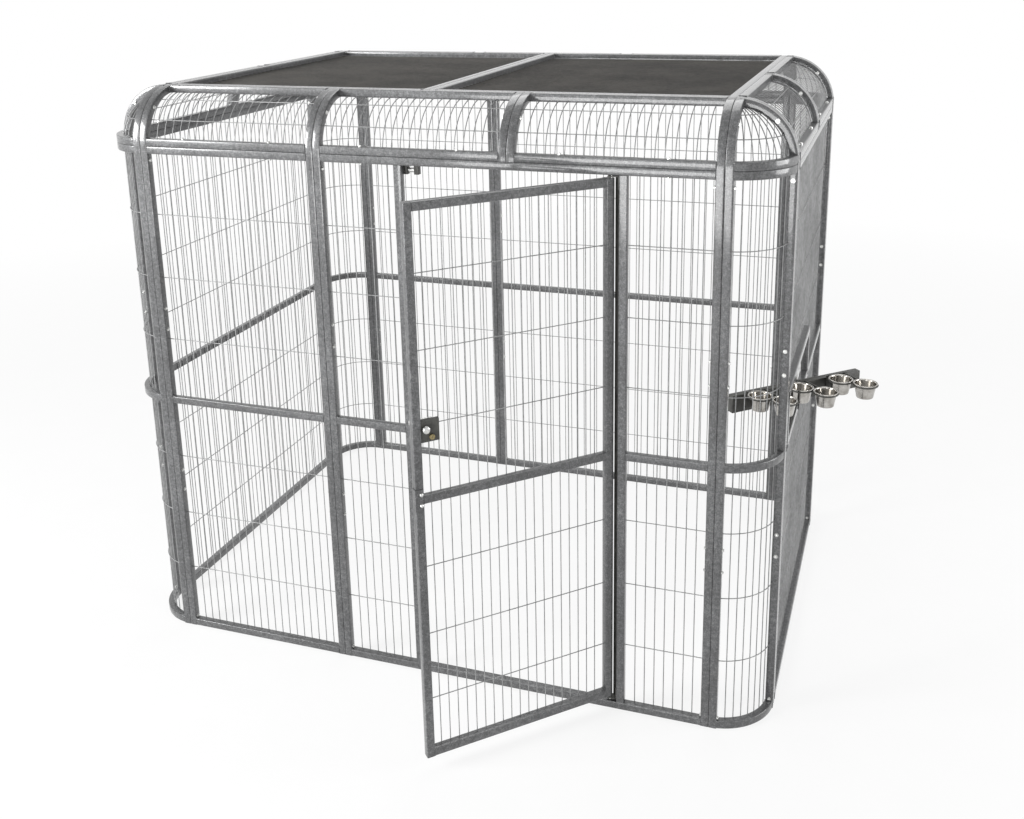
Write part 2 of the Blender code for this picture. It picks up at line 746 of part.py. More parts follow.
def build_lock(door, steel, bright, brass):
    """A case beside the free stile, its key cylinder, its knob on a spindle, and the bolt."""
    inner = FREE_EDGE + TUBE + GAP
    width, height = LOCK_PLATE
    spindle_x, spindle_z = FREE_EDGE + SPINDLE_AT[0], SPINDLE_AT[1]

    case = bmesh.new()
    block(case, (inner, LEAF_FACE + LOCK_CASE_FACE, LOCK_PLATE_Z),
          (inner + width, LEAF_FACE + LOCK_CASE_BACK, LOCK_PLATE_Z + height))
    obj = to_object("lock_case", case, steel)
    hole = bmesh.new()
    rod(hole, (spindle_x, LEAF_FACE, spindle_z),
        (spindle_x, LEAF_FACE + 2 * LOCK_CASE_BACK, spindle_z), SPINDLE_HOLE, "y")
    combine(obj, hole, "DIFFERENCE")
    put(obj, door)

    key = bmesh.new()
    key_x, key_z = inner + KEY_AT[0], LOCK_PLATE_Z + KEY_AT[1]
    rod(key, (key_x, LEAF_FACE - KEY_PROUD, key_z),
        (key_x, LEAF_FACE + LOCK_CASE_FACE - GAP, key_z), KEY_RADIUS, "y")
    put(to_object("lock_cylinder", key, brass), door)

    knob = bmesh.new()
    skin(knob, [circle((spindle_x, LEAF_FACE + depth, spindle_z), radius, "y")
                for radius, depth in KNOB_PROFILE])
    obj = to_object("lock_knob", knob, bright)
    near, far = PINION_DEPTH
    for radius, start, end in (
        (SPINDLE_RADIUS, -0.002, (near + far) / 2 - 0.001),
        (PINION_RADIUS, near, far),
    ):
        length = bmesh.new()
        rod(length, (spindle_x, LEAF_FACE + start, spindle_z),
            (spindle_x, LEAF_FACE + end, spindle_z), radius, "y")
        combine(obj, length)
    put(obj, door)

    behind = LEAF_FACE + TUBE + GAP
    low = spindle_z + PINION_RADIUS + GAP
    top = low + BOLT_HIGH
    bolt = bmesh.new()
    block(bolt, (FREE_EDGE, behind, low), (FREE_EDGE + BOLT_LENGTH, behind + BOLT_THICK, top))
    put(to_object("lock_bolt", bolt, bright), door)

    inside, outside = behind + GUIDE_ARCH, behind + GUIDE_ARCH + GUIDE_THICK
    bore_low, bore_top = low - GUIDE_PLAY, top + GUIDE_PLAY
    wall_low, wall_top = bore_low - GUIDE_THICK, bore_top + GUIDE_THICK
    arch = [
        (low - GUIDE_FOOT, behind), (bore_low, behind), (bore_low, inside), (bore_top, inside),
        (bore_top, behind), (top + GUIDE_FOOT, behind), (top + GUIDE_FOOT, behind + GUIDE_THICK),
        (wall_top, behind + GUIDE_THICK), (wall_top, outside), (wall_low, outside),
        (wall_low, behind + GUIDE_THICK), (low - GUIDE_FOOT, behind + GUIDE_THICK),
    ]
    strap = bmesh.new()
    skin(strap, [[Vector((FREE_EDGE + x, y, z)) for z, y in arch] for x in GUIDE_X])
    put(to_object("bolt_guide", strap, steel), door)


def cup_holder(name, near, far, steel):
    """Two rings on arms from a back plate that sits on the beam."""
    front = -TUBE / 2
    low, high = RING_Z
    left, right = HOLDER_PLATE_X
    plate = bmesh.new()
    block(plate, (near[0] + left, front - HOLDER_PLATE_THICK, BEAM_Z[0] + 0.012),
          (near[0] + right, front - GAP, high))
    obj = to_object(name, plate, steel)
    for centre in (near, far):
        ring = bmesh.new()
        band(ring, centre, RING_INNER, RING_OUTER, low, high)
        combine(obj, ring)
    for x, ring_y in ((near[0], near[1]), (far[0] + ARM_OFFSET, far[1])):
        arm = bmesh.new()
        block(arm, (x - ARM_HALF, ring_y + RING_INNER + 0.002, low - 0.001),
              (x + ARM_HALF, front - 0.001, high - 0.001))
        combine(obj, arm)
    return obj


def cup(name, centre, steel):
    """A plain steel cup that hangs in its ring by the rolled lip."""
    lip = RING_Z[1] + GAP
    foot = lip - CUP_DEPTH
    profile = [
        (0, foot),
        (CUP_BASE, foot),
        (CUP_TOP, lip),
        (CUP_LIP, lip),
        (CUP_LIP, lip + CUP_ROLL),
        (CUP_TOP - CUP_WALL, lip + CUP_ROLL),
        (CUP_BASE - CUP_WALL, foot + CUP_WALL),
        (0, foot + CUP_WALL),
    ]
    bm = bmesh.new()
    turned(bm, centre, profile)
    return to_object(name, bm, steel)


def build_feeder(feeder, steel, bright):
    """Beam, three double cup holders and six cups, all turning on a fixed pin."""
    beam = bmesh.new()
    block(beam, (-BEAM_HALF, -TUBE / 2, BEAM_Z[0]), (BEAM_HALF, TUBE / 2, BEAM_Z[1]))
    obj = to_object("feeder_beam", beam, steel)
    bore = bmesh.new()
    rod(bore, (0, 0, BEAM_Z[0] - TUBE), (0, 0, BEAM_Z[1] + TUBE), BORE_RADIUS)
    combine(obj, bore, "DIFFERENCE")
    put(obj, feeder)
    for n in range(3):
        near = (HOLDER_START + n * HOLDER_PITCH, -RING_ROW)
        far = (near[0] + RING_STEP[0], near[1] - RING_STEP[1])
        put(cup_holder(f"cup_holder_{n + 1}", near, far, steel), feeder)
        put(cup(f"cup_{2 * n + 1}", near, bright), feeder)
        put(cup(f"cup_{2 * n + 2}", far, bright), feeder)


def build_feeder_pivot(cage, steel, bright):
    """An angle plate over the slot's rail, the pin that stands on it, and a washer."""
    right = -LEFT
    middle = right - TUBE / 2
    rail_top = MID_RAIL_Z + TUBE / 2
    plate_top = rail_top + PIVOT_BASE_THICK
    outline = [
        (right - 0.024, plate_top), (right - 0.024, rail_top + GAP),
        (right + GAP, rail_top + GAP), (right + GAP, rail_top - PIVOT_BASE_DROP),
        (right + 0.0033, rail_top - PIVOT_BASE_DROP), (right + 0.0033, plate_top),
    ]
    base = bmesh.new()
    skin(base, [[Vector((x, PIVOT_Y + y, z)) for x, z in outline]
                for y in (-PIVOT_BASE_HALF, PIVOT_BASE_HALF)])
    put(to_object("feeder_pivot_base", base, steel), cage)
    washer = bmesh.new()
    band(washer, (middle, PIVOT_Y), BORE_RADIUS, WASHER_RADIUS, plate_top + GAP, BEAM_Z[0] - GAP)
    put(to_object("feeder_washer", washer, bright), cage)
    pin = bmesh.new()
    rod(pin, (middle, PIVOT_Y, plate_top + GAP), (middle, PIVOT_Y, SLOT_TOP - GAP), PIVOT_RADIUS)
    put(to_object("feeder_pivot_pin", pin, bright), cage)


def main():
    clear_scene()
    paint = finish("silver_paint", (0.24, 0.24, 0.24), 0.45, 0.42)
    steel = finish("dark_steel", (0.05, 0.05, 0.05), 0.5, 0.45)
    bright = finish("stainless", (0.62, 0.61, 0.58), 1.0, 0.22)
    brass = finish("brass", (0.60, 0.48, 0.25), 1.0, 0.30)

    cage = empty("cage_middle", None, (0, DEPTH / 2 - TUBE / 2, 0))
    door = empty("door_hinge_axis", cage, (HINGE_X, HINGE_Y, 0), DOOR_OPEN)
    feeder = empty("feeder_pivot_axis", cage, (-LEFT - TUBE / 2, PIVOT_Y, 0), FEEDER_TURN)

    build_cage(cage, paint)
    build_hinges(cage, door, steel)
    build_stop_strip(cage, steel)
    build_keeper(cage, steel, bright)
    build_strike(cage, bright)
    put(door_leaf(paint), door)
    build_catch(door, bright)
    build_lock(door, steel, bright, brass)
    build_feeder(feeder, steel, bright)
    build_feeder_pivot(cage, steel, bright)


main()
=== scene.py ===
"""The looks of the walk-in aviary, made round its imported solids.

Metres, +Z up.  The front, with the door, faces -Y; the feeder is on the +X side.
The sizes repeat those of the solids.  Here the cage gets tube with rounded edges, all its wires
as round wire, welds, bolts, a lock, polished cups and the finishes.
"""

from math import acos, asin, cos, degrees, pi, radians, sin

import bmesh
import bpy
from mathutils import Matrix, Vector


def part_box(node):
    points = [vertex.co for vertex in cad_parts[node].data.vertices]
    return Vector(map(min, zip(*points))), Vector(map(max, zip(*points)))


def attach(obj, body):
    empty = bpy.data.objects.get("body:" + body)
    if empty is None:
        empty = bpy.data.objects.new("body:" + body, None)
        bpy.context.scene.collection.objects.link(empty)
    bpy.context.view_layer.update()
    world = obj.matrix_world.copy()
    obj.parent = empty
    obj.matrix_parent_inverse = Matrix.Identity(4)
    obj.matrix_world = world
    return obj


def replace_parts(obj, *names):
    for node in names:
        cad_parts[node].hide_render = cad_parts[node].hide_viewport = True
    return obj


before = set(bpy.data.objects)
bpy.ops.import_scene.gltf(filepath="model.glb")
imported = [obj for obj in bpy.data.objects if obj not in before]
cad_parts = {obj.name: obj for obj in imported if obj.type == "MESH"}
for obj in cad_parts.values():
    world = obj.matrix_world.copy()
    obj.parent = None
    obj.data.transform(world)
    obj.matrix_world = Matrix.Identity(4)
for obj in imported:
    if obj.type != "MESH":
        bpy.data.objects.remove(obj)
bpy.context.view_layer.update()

X_AXIS, Y_AXIS, Z_AXIS = Vector((1, 0, 0)), Vector((0, 1, 0)), Vector((0, 0, 1))

# Sizes of the cage, as in the solids
TUBE = 0.025
BEND_RADIUS = 0.180
MODULE = 0.632
WALL_HEIGHT = 1.765
MID_RAIL_Z = 0.8825
MID_RAIL_DEPTH = 0.020
GAP = 0.0003
WIDTH = 3 * MODULE + 2 * BEND_RADIUS
DEPTH = 2 * MODULE + 2 * BEND_RADIUS
HEIGHT = WALL_HEIGHT + BEND_RADIUS
LEFT = -WIDTH / 2
FRONT = -DEPTH / 2
PANEL_LEFT = LEFT + BEND_RADIUS
SIDE_START = FRONT + BEND_RADIUS
CAGE_MIDDLE = Vector((0, DEPTH / 2 - TUBE / 2, 0))
RAILS = ((TUBE / 2, TUBE), (MID_RAIL_Z, MID_RAIL_DEPTH), (WALL_HEIGHT - TUBE / 2, TUBE))

# The four walls: the middle of the outer face's foot, the way along, the way in, how many modules long
WALLS = (
    (Y_AXIS * FRONT, X_AXIS, Y_AXIS, 3),
    (-Y_AXIS * FRONT, X_AXIS, -Y_AXIS, 3),
    (X_AXIS * LEFT, Y_AXIS, X_AXIS, 2),
    (-X_AXIS * LEFT, Y_AXIS, -X_AXIS, 2),
)

# Angles round a bend, in degrees: where the tubes at its ends stop, and where bent rails start and end
END_ANGLE = degrees(asin(TUBE / BEND_RADIUS))
BENT_FROM, BENT_TO = 4, 86
BEND_WELDS = (END_ANGLE, 90 - END_ANGLE)
WIRE_BITE_ANGLE = 2

# Tube and wire as they are bought
EDGE_RADIUS = 0.0026
EDGE_STEPS = 3
BEND_STEPS = 20
WIRE_RADIUS = 0.0015
ROOF_WIRE_RADIUS = 0.0019
WIRE_SIDES = 8
WIRE_BEND_STEPS = 14
UPRIGHT_DEPTH = 0.0216
CROSS_DEPTH = 0.0188
CROSSING_DEPTH = (UPRIGHT_DEPTH + CROSS_DEPTH) / 2
WIRE_BITE = 0.006
WELD_RADIUS = 0.0012
WELD_SIDES = 5
NUGGET_RADIUS = 0.0025

# How many wires each module has
NARROW_WIRES = 19
WIDE_WIRES = 40
STRIP_WIRES = 7
CORNER_WIRES = 7
CROSS_WIRES = 3
TOP_EDGE_LIFTS = (30, 60)
CORNER_TURN = (90 - 2 * END_ANGLE) / (CORNER_WIRES + 1)
FIRST_CORNER_WIRE = END_ANGLE + CORNER_TURN

# Doorway and door leaf
DOORWAY = 0.672
LEAF_WIDTH = 0.640
LEAF_BOTTOM = 0.043
LEAF_TOP = 1.732
HINGE_X = 0.631
HINGE_INSET = 0.006
HINGE_AXIS = Vector((HINGE_X, FRONT + HINGE_INSET, 0)) + CAGE_MIDDLE
HINGE_PIN_RADIUS = 0.003
DOOR_OPEN = 45.6
FREE_EDGE = HINGE_INSET - LEAF_WIDTH
KEEPER_STUD_RADIUS = 0.008
KEEPER_STUD_EDGE = 0.0008
FITTING_EDGE = 0.0006

# Lock, placed from the hinge axis, and catch, from the leaf's free edge, both on the closed door
SPINDLE_INSET, SPINDLE_Z = 0.0375, 1.0935
KEYHOLE_INSET, KEYHOLE_Z = 0.031, 1.0675
SPINDLE = Vector((FREE_EDGE + SPINDLE_INSET, -HINGE_INSET, SPINDLE_Z))
KEYHOLE = Vector((FREE_EDGE + TUBE + GAP + KEYHOLE_INSET, -HINGE_INSET, KEYHOLE_Z))
KEYWAY_SIZE = (0.0012, 0.0004)
KEYWAY_HALF = 0.0034
KEYWAY_FACE = 0.00302
CATCH_Z = (0.852, 0.918)
CATCH_THICKNESS = 0.0017
CATCH_FACE_WIDTH, CATCH_EDGE_WIDTH = 0.025, 0.022
CATCH_FACE_MIDDLE, CATCH_EDGE_MIDDLE = 0.0105, 0.009
CATCH_OFF_TUBE = 0.0012
CATCH_BOLT_INSET = 0.016

# Profiles for the lathe: (radius, height) from the axis at one end to the axis at the other
KNOB_PROFILE = [
    (0, -0.0305), (0.0092, -0.0305), (0.0092, -0.0255), (0.003, -0.0255), (0.003, -0.0040),
    (0.006, -0.0037), (0.006, 0.0008), (0.0095, 0.0022), (0.0110, 0.0036), (0.0110, 0.0085),
    (0.0103, 0.0100), (0.0080, 0.0114), (0.0040, 0.0120), (0, 0.0120),
]
KEY_CYLINDER_PROFILE = [
    (0, -0.0036), (0.0080, -0.0036), (0.0080, 0.0022), (0.0074, 0.0030), (0.0058, 0.0030),
    (0.0056, 0.0026), (0.0052, 0.0026), (0.0050, 0.0030), (0, 0.0030),
]
CATCH_BOLT_PROFILE = [
    (0, -0.0010), (0.0056, -0.0010), (0.0062, 0.0022), (0.0060, 0.0036), (0.0053, 0.0056),
    (0.0040, 0.0071), (0.0020, 0.0078), (0, 0.0080),
]

# Revolving feeder
FEEDER_Y = -0.254
PIVOT = Vector((-LEFT - TUBE / 2, FEEDER_Y, 0)) + CAGE_MIDDLE
FEEDER_TURN = 43.4
SLOT_HALF = 0.302
SLOT_TOP = 1.030
HOLDER_START = -0.185
HOLDER_PITCH = 0.160
RING_ROW = 0.0605
RING_STEP = Vector((0.045, -0.0673))
RING_RADIUS = 0.039
RING_WIRE = 0.0025
RING_MIDDLE_Z = 0.9675
HOLDER_PLATE_Z = (0.917, 0.970)
HOLDER_PLATE_SHIFT = 0.0215
HOLDER_PLATE_SIZE = (0.087, 0.0026)
HOLDER_PLATE_OFF_BEAM = 0.0016
FAR_ARM_SHIFT = 0.008
ARM_SIZE = (0.006, 0.005)
ARM_DROP = 0.001
ARM_EDGE = 0.0016
ARM_BITE, ARM_OFF_BEAM = 0.0005, 0.0015
CUP_LIP_Z = 0.9703
CUP_DEPTH = 0.047
PIN_RADIUS, PIN_END_RADIUS, PIN_END = 0.005, 0.0042, 0.001
WASHER_HOLE, WASHER_RADIUS, WASHER_EDGE = 0.0054, 0.0100, 0.0004

# A cup's profile as (radius, height): the lip is measured from CUP_LIP_Z, the rest from the cup's foot
CUP_SIDE = [(0, 0.0008), (0.0170, 0.0008), (0.0190, 0), (0.0240, 0), (0.0266, 0.0014), (0.0276, 0.0045)]
CUP_LIP = [
    (0.0352, -0.0010), (0.0360, 0.0001), (0.0380, 0.0002), (0.0394, 0.0008), (0.0397, 0.0018),
    (0.0391, 0.0027), (0.0375, 0.0030), (0.0352, 0.0027), (0.0342, 0.0012), (0.0338, -0.0010),
]
CUP_INSIDE = [(0.0262, 0.0050), (0.0248, 0.0026), (0.0225, 0.0016), (0, 0.0020)]

# Bolts through the modules' tubes
BOLT_HEIGHTS = (0.032, 0.540, 0.614, 1.135, 1.209, 1.717)
RIB_BOLT_LIFT = 45
SILL_BOLTS = (0.25, 0.75)
BOLT_HEAD = 0.0050
BOLT_HEAD_HEIGHT = 0.0038
BOLT_HEAD_FOOT = 0.0010
BOLT_WASHER = 0.0062
BOLT_WASHER_THICKNESS = 0.0024
BOLT_DOME_FOOT = 0.0006
BOLT_DOME_SHARE = 0.72
BOLT_DOME_FLATNESS = 0.35

# Floor and light
FLOOR_REACH = 80.0
FLOOR_DROP = 0.001
FLOOR_FADE = (1.5, 6.5)
FLOOR_WHITE = 0.84
ROOM_LIGHT = 0.22


class Signal:
    """A node's output that takes part in plain sums."""

    def __init__(self, board, socket):
        self.board = board
        self.socket = socket

    def reckon(self, operation, first, second):
        return self.board.node("ShaderNodeMath", {0: first, 1: second}, operation=operation)

    def __add__(self, other):
        return self.reckon("ADD", self, other)

    def __radd__(self, other):
        return self.reckon("ADD", other, self)

    def __mul__(self, other):
        return self.reckon("MULTIPLY", self, other)

    def __rmul__(self, other):
        return self.reckon("MULTIPLY", other, self)


class Board:
    """A node tree that is filled one node at a time."""

    def __init__(self, tree):
        self.tree = tree

    def node(self, kind, sockets, take=0, **settings):
        """Add a node, set it, wire its sockets, and give back one of its outputs."""
        made = self.tree.nodes.new(kind)
        for name, value in settings.items():
            setattr(made, name, value)
        self.feed(made, sockets)
        return Signal(self, made.outputs[take])

    def feed(self, node, sockets):
        """Link the signals to a node's sockets, and set the plain values."""
        for name, value in sockets.items():
            if isinstance(value, Signal):
                self.tree.links.new(value.socket, node.inputs[name])
            else:
                node.inputs[name].default_value = value

    def noise(self, place, scale, detail=3.0, roughness=0.55):
        sockets = {"Vector": place, "Scale": scale, "Detail": detail, "Roughness": roughness}
        return self.node("ShaderNodeTexNoise", sockets)

    def ramp(self, factor, stops):
        ramp = self.tree.nodes.new("ShaderNodeValToRGB")
        self.feed(ramp, {"Fac": factor})
        elements = ramp.color_ramp.elements
        while len(elements) < len(stops):
            elements.new(0.5)
        for element, (place, colour) in zip(elements, stops):
            element.position = place
            element.color = (*colour, 1.0)
        return Signal(self, ramp.outputs[0])

    def stretched(self, place, scale):
        return self.node("ShaderNodeMapping", {"Vector": place, "Scale": scale})

    def bump(self, height, distance, strength=0.5):
        sockets = {"Height": height, "Distance": distance, "Strength": strength}
        return self.node("ShaderNodeBump", sockets)


def new_finish(name):
    """An empty material, its board and its Object coordinates."""
    material = bpy.data.materials.new(name)
    material.use_nodes = True
    board = Board(material.node_tree)
    place = board.node("ShaderNodeTexCoord", {}, take="Object")
    return material, board, place


def coat(material, sockets):
    """Feed values and signals to the material's own shader."""
    Board(material.node_tree).feed(material.node_tree.nodes["Principled BSDF"], sockets)
    return material


def hammered_paint():
    """Silver-grey hammered powder coat: shallow dimples, mottled flake, a little grime."""
    material, board, place = new_finish("hammered_silver_paint")
    dimples = board.node(
        "ShaderNodeTexVoronoi", {"Vector": place, "Scale": 230.0, "Smoothness": 0.7}, feature="SMOOTH_F1",
    )
    flake = board.noise(place, 300.0, 2.0)
    mottle = board.noise(place, 90.0, 4.0, 0.6)
    grime = board.noise(place, 4.0, 5.0, 0.6)
    tone = mottle * 0.35 + flake * 0.40 + grime * 0.25
    colour = board.ramp(tone, [
        (0.38, (0.037, 0.037, 0.038)),
        (0.50, (0.076, 0.077, 0.079)),
        (0.62, (0.165, 0.168, 0.171)),
    ])
    return coat(material, {
        "Base Color": colour,
        "Metallic": 0.35,
        "Roughness": 0.32 + mottle * 0.16 + grime * 0.10,
        "Coat Weight": 0.80,
        "Coat Roughness": 0.10,
        "Normal": board.bump(dimples + flake * 0.2, 0.0009, 0.45),
    })


def wire_paint(name, deep, pale):
    """The same coat on thin wire, where it lies smoother and has less gloss, in given tones: paler than the
    tubes' coat on the walls as painted brightening, darker on the roof as painted shade.
    """
    material, board, place = new_finish(name)
    mottle = board.noise(place, 60.0, 4.0, 0.6)
    grime = board.noise(place, 5.0, 4.0)
    colour = board.ramp(mottle * 0.5 + grime * 0.5, [(0.35, deep), (0.65, pale)])
    return coat(material, {
        "Base Color": colour,
        "Metallic": 0.35,
        "Roughness": 0.40 + mottle * 0.14,
        "Normal": board.bump(board.noise(place, 700.0, 2.0), 0.0002, 0.4),
    })


def dark_paint():
    """Near-black satin paint, faintly dusty and rubbed."""
    material, board, place = new_finish("dark_satin_paint")
    dust = board.noise(place, 35.0, 5.0, 0.65)
    rubs = board.noise(board.stretched(place, (900.0, 60.0, 60.0)), 1.0, 3.0)
    colour = board.ramp(dust * 0.7 + rubs * 0.3, [
        (0.38, (0.028, 0.028, 0.026)),
        (0.60, (0.058, 0.058, 0.052)),
        (0.80, (0.110, 0.108, 0.098)),
    ])
    return coat(material, {
        "Base Color": colour,
        "Metallic": 0.2,
        "Roughness": 0.36 + dust * 0.22,
        "Normal": board.bump(board.noise(place, 900.0, 2.0), 0.0002, 0.35),
    })


def polished_steel():
    """Stainless steel with the fine rings that a spun cup keeps, and patches of painted reflection in its
    tone.
    """
    material, board, place = new_finish("polished_stainless")
    rings = board.noise(board.stretched(place, (14.0, 14.0, 1500.0)), 1.0, 2.0)
    smears_and_reflection = board.noise(place, 45.0, 4.0, 0.6)
    # Painted reflection: the noise darkens and pales the base colour in patches, like mirrored dark and
    # bright surroundings; in the gloss it acts as real smears
    colour = board.ramp(smears_and_reflection, [
        (0.30, (0.290, 0.275, 0.252)),
        (0.70, (0.540, 0.525, 0.500)),
    ])
    return coat(material, {
        "Base Color": colour,
        "Metallic": 1.0,
        "Roughness": 0.08 + smears_and_reflection * 0.12,
        "Normal": board.bump(rings, 0.0001, 0.25),
    })


def spotted_metal(name, fineness, roughness, stops, gloss, spread):
    """Bare metal whose tone and gloss change from spot to spot."""
    material, board, place = new_finish(name)
    spots = board.noise(place, fineness, 4.0, roughness)
    return coat(material, {
        "Base Color": board.ramp(spots, stops),
        "Metallic": 1.0,
        "Roughness": gloss + spots * spread,
        "Normal": board.bump(spots, 0.0002, 0.3),
    })


def zinc_plate():
    """Bright zinc on bolts, pins and the lock's moving parts."""
    stops = [(0.30, (0.470, 0.475, 0.470)), (0.70, (0.720, 0.720, 0.700))]
    return spotted_metal("bright_zinc", 160.0, 0.6, stops, 0.22, 0.18)


def dull_brass():
    """Tarnished brass on the key cylinder."""
    stops = [(0.32, (0.190, 0.160, 0.085)), (0.68, (0.420, 0.350, 0.190))]
    return spotted_metal("dull_brass", 220.0, 0.65, stops, 0.26, 0.2)


SILVER = hammered_paint()
# Wire paint paler than the tubes' coat: painted brightening, as glare washes thin wire pale
WIRE_SILVER = wire_paint("silver_wire_paint", (0.160, 0.161, 0.162), (0.320, 0.322, 0.323))
# The roof's wire paint, far darker than the walls': painted shade on a roof seen from its shaded side
SHADED_ROOF_WIRE = wire_paint("shaded_roof_wire_paint", (0.018, 0.017, 0.015), (0.048, 0.044, 0.039))
DARK = dark_paint()
STAINLESS = polished_steel()
ZINC = zinc_plate()
BRASS = dull_brass()


def new_tree(name, inputs):
    """A geometry tree with named inputs, its board, its input signals and their identifiers."""
    tree = bpy.data.node_groups.new(name, "GeometryNodeTree")
    names = {}
    for label, kind in inputs:
        names[label] = tree.interface.new_socket(label, in_out="INPUT", socket_type=kind).identifier
    tree.interface.new_socket("Geometry", in_out="OUTPUT", socket_type="NodeSocketGeometry")
    board = Board(tree)
    entry = tree.nodes.new("NodeGroupInput")
    signals = {label: Signal(board, entry.outputs[label]) for label, _ in inputs}
    return tree, board, signals, names


def close_tree(board, shape, material):
    """End a tree in Realize Instances and Set Material."""
    whole = board.node("GeometryNodeRealizeInstances", {"Geometry": shape})
    done = board.node("GeometryNodeSetMaterial", {"Geometry": whole, "Material": material})
    board.feed(board.tree.nodes.new("NodeGroupOutput"), {"Geometry": done})


def wire_row_tree():
    """Rounds a drawn wire and repeats it, step by step or turned round a pivot."""
    tree, board, given, names = new_tree("wire_row", [
        ("Drawn wire", "NodeSocketGeometry"),
        ("Wires", "NodeSocketInt"),
        ("Step", "NodeSocketVector"),
        ("Turn", "NodeSocketVector"),
        ("Pivot", "NodeSocketVector"),
        ("Wire radius", "NodeSocketFloat"),
        ("Sides", "NodeSocketInt"),
    ])
    line = board.node("GeometryNodeMeshToCurve", {"Mesh": given["Drawn wire"]})
    section = board.node(
        "GeometryNodeCurvePrimitiveCircle",
        {"Resolution": given["Sides"], "Radius": given["Wire radius"]}, mode="RADIUS",
    )
    rounded = board.node(
        "GeometryNodeCurveToMesh", {"Curve": line, "Profile Curve": section, "Fill Caps": True},
    )
    back = board.node("ShaderNodeVectorMath", {0: given["Pivot"], "Scale": -1.0}, operation="SCALE")
    at_pivot = board.node("GeometryNodeTransform", {"Geometry": rounded, "Translation": back})
    places = board.node(
        "GeometryNodeMeshLine",
        {"Count": given["Wires"], "Start Location": given["Pivot"], "Offset": given["Step"]}, mode="OFFSET",
    )
    count = board.node("GeometryNodeInputIndex", {})
    turned = board.node("ShaderNodeVectorMath", {0: given["Turn"], "Scale": count}, operation="SCALE")
    row = board.node(
        "GeometryNodeInstanceOnPoints", {"Points": places, "Instance": at_pivot, "Rotation": turned},
    )
    close_tree(board, row, WIRE_SILVER)
    return tree, names


def nugget_tree():
    """Puts a small weld nugget at every given point."""
    tree, board, given, names = new_tree("weld_nuggets", [
        ("Crossings", "NodeSocketGeometry"),
        ("Nugget radius", "NodeSocketFloat"),
    ])
    ball = board.node("GeometryNodeMeshIcoSphere", {"Radius": given["Nugget radius"], "Subdivisions": 1})
    dots = board.node("GeometryNodeInstanceOnPoints", {"Points": given["Crossings"], "Instance": ball})
    close_tree(board, dots, WIRE_SILVER)
    return tree, names


def bolt_tree():
    """Puts a hexagon head on a washer at every given point, all facing one way."""
    tree, board, given, names = new_tree("bolt_heads", [
        ("Places", "NodeSocketGeometry"),
        ("Facing", "NodeSocketVector"),
        ("Head radius", "NodeSocketFloat"),
        ("Head height", "NodeSocketFloat"),
        ("Washer radius", "NodeSocketFloat"),
    ])
    washer = board.node(
        "GeometryNodeMeshCylinder",
        {"Vertices": 16, "Radius": given["Washer radius"], "Depth": BOLT_WASHER_THICKNESS},
        fill_type="NGON",
    )
    lifted = board.node("ShaderNodeCombineXYZ", {"Z": given["Head height"] * 0.5 + BOLT_HEAD_FOOT})
    hexagon = board.node(
        "GeometryNodeMeshCylinder",
        {"Vertices": 6, "Radius": given["Head radius"], "Depth": given["Head height"]},
        fill_type="NGON",
    )
    head = board.node("GeometryNodeTransform", {"Geometry": hexagon, "Translation": lifted})
    crown = board.node(
        "GeometryNodeMeshUVSphere",
        {"Segments": 12, "Rings": 6, "Radius": given["Head radius"] * BOLT_DOME_SHARE},
    )
    domed_at = board.node("ShaderNodeCombineXYZ", {"Z": given["Head height"] + BOLT_DOME_FOOT})
    dome = board.node(
        "GeometryNodeTransform",
        {"Geometry": crown, "Translation": domed_at, "Scale": (1.0, 1.0, BOLT_DOME_FLATNESS)},
    )
    join = board.tree.nodes.new("GeometryNodeJoinGeometry")
    for part in (washer, head, dome):
        board.tree.links.new(part.socket, join.inputs[0])
    facing = board.node("FunctionNodeAlignRotationToVector", {"Vector": given["Facing"]}, axis="Z")
    heads = board.node(
        "GeometryNodeInstanceOnPoints",
        {"Points": given["Places"], "Instance": Signal(board, join.outputs[0]), "Rotation": facing},
    )
    close_tree(board, heads, ZINC)
    return tree, names


WIRE_ROW = wire_row_tree()
NUGGETS = nugget_tree()
BOLT_HEADS = bolt_tree()


def new_object(name, data):
    """An object of the given data, in the scene."""
    obj = bpy.data.objects.new(name, data)
    bpy.context.scene.collection.objects.link(obj)
    return obj


def use_up(obj, bm):
    """Add what an object's modifiers make of it to a piece in the making, and remove the object."""
    bpy.context.view_layer.update()
    shown = obj.evaluated_get(bpy.context.evaluated_depsgraph_get())
    result = bpy.data.meshes.new_from_object(shown)
    bm.from_mesh(result)
    drawn = obj.data
    obj.modifiers.clear()
    bpy.data.objects.remove(obj)
    for mesh in (drawn, result):
        bpy.data.meshes.remove(mesh)


def grow(bm, kind, points, chained, values):
    """Run one of the trees on a mesh of points, and add what grows to a piece in the making."""
    tree, names = kind
    mesh = bpy.data.meshes.new("drawn")
    edges = [(n, n + 1) for n in range(len(points) - 1)] if chained else []
    mesh.from_pydata([tuple(point) for point in points], edges, [])
    obj = new_object("drawn", mesh)
    modifier = obj.modifiers.new("grow", "NODES")
    modifier.node_group = tree
    for label, value in values.items():
        modifier[names[label]] = value
    use_up(obj, bm)


def between(low, high, gaps):
    """The places that divide a span into equal gaps."""
    return [low + (high - low) * n / gaps for n in range(1, gaps)]


def cross_heights():
    """Cross wires divide the fields below and above the mid rail equally."""
    low = between(TUBE / 2, MID_RAIL_Z, CROSS_WIRES + 1)
    return low + between(MID_RAIL_Z, WALL_HEIGHT - TUBE / 2, CROSS_WIRES + 1)


def rounded_section(across, deep, radius=EDGE_RADIUS):
    """The outline of a bar with rounded edges, as (across, deep) from its middle."""
    outline = []
    for quarter, (x, y) in enumerate(((1, 1), (-1, 1), (-1, -1), (1, -1))):
        for step in range(EDGE_STEPS + 1):
            angle = radians(90 * quarter + 90 * step / EDGE_STEPS)
            outline.append((
                x * (across / 2 - radius) + radius * cos(angle),
                y * (deep / 2 - radius) + radius * sin(angle),
            ))
    return outline


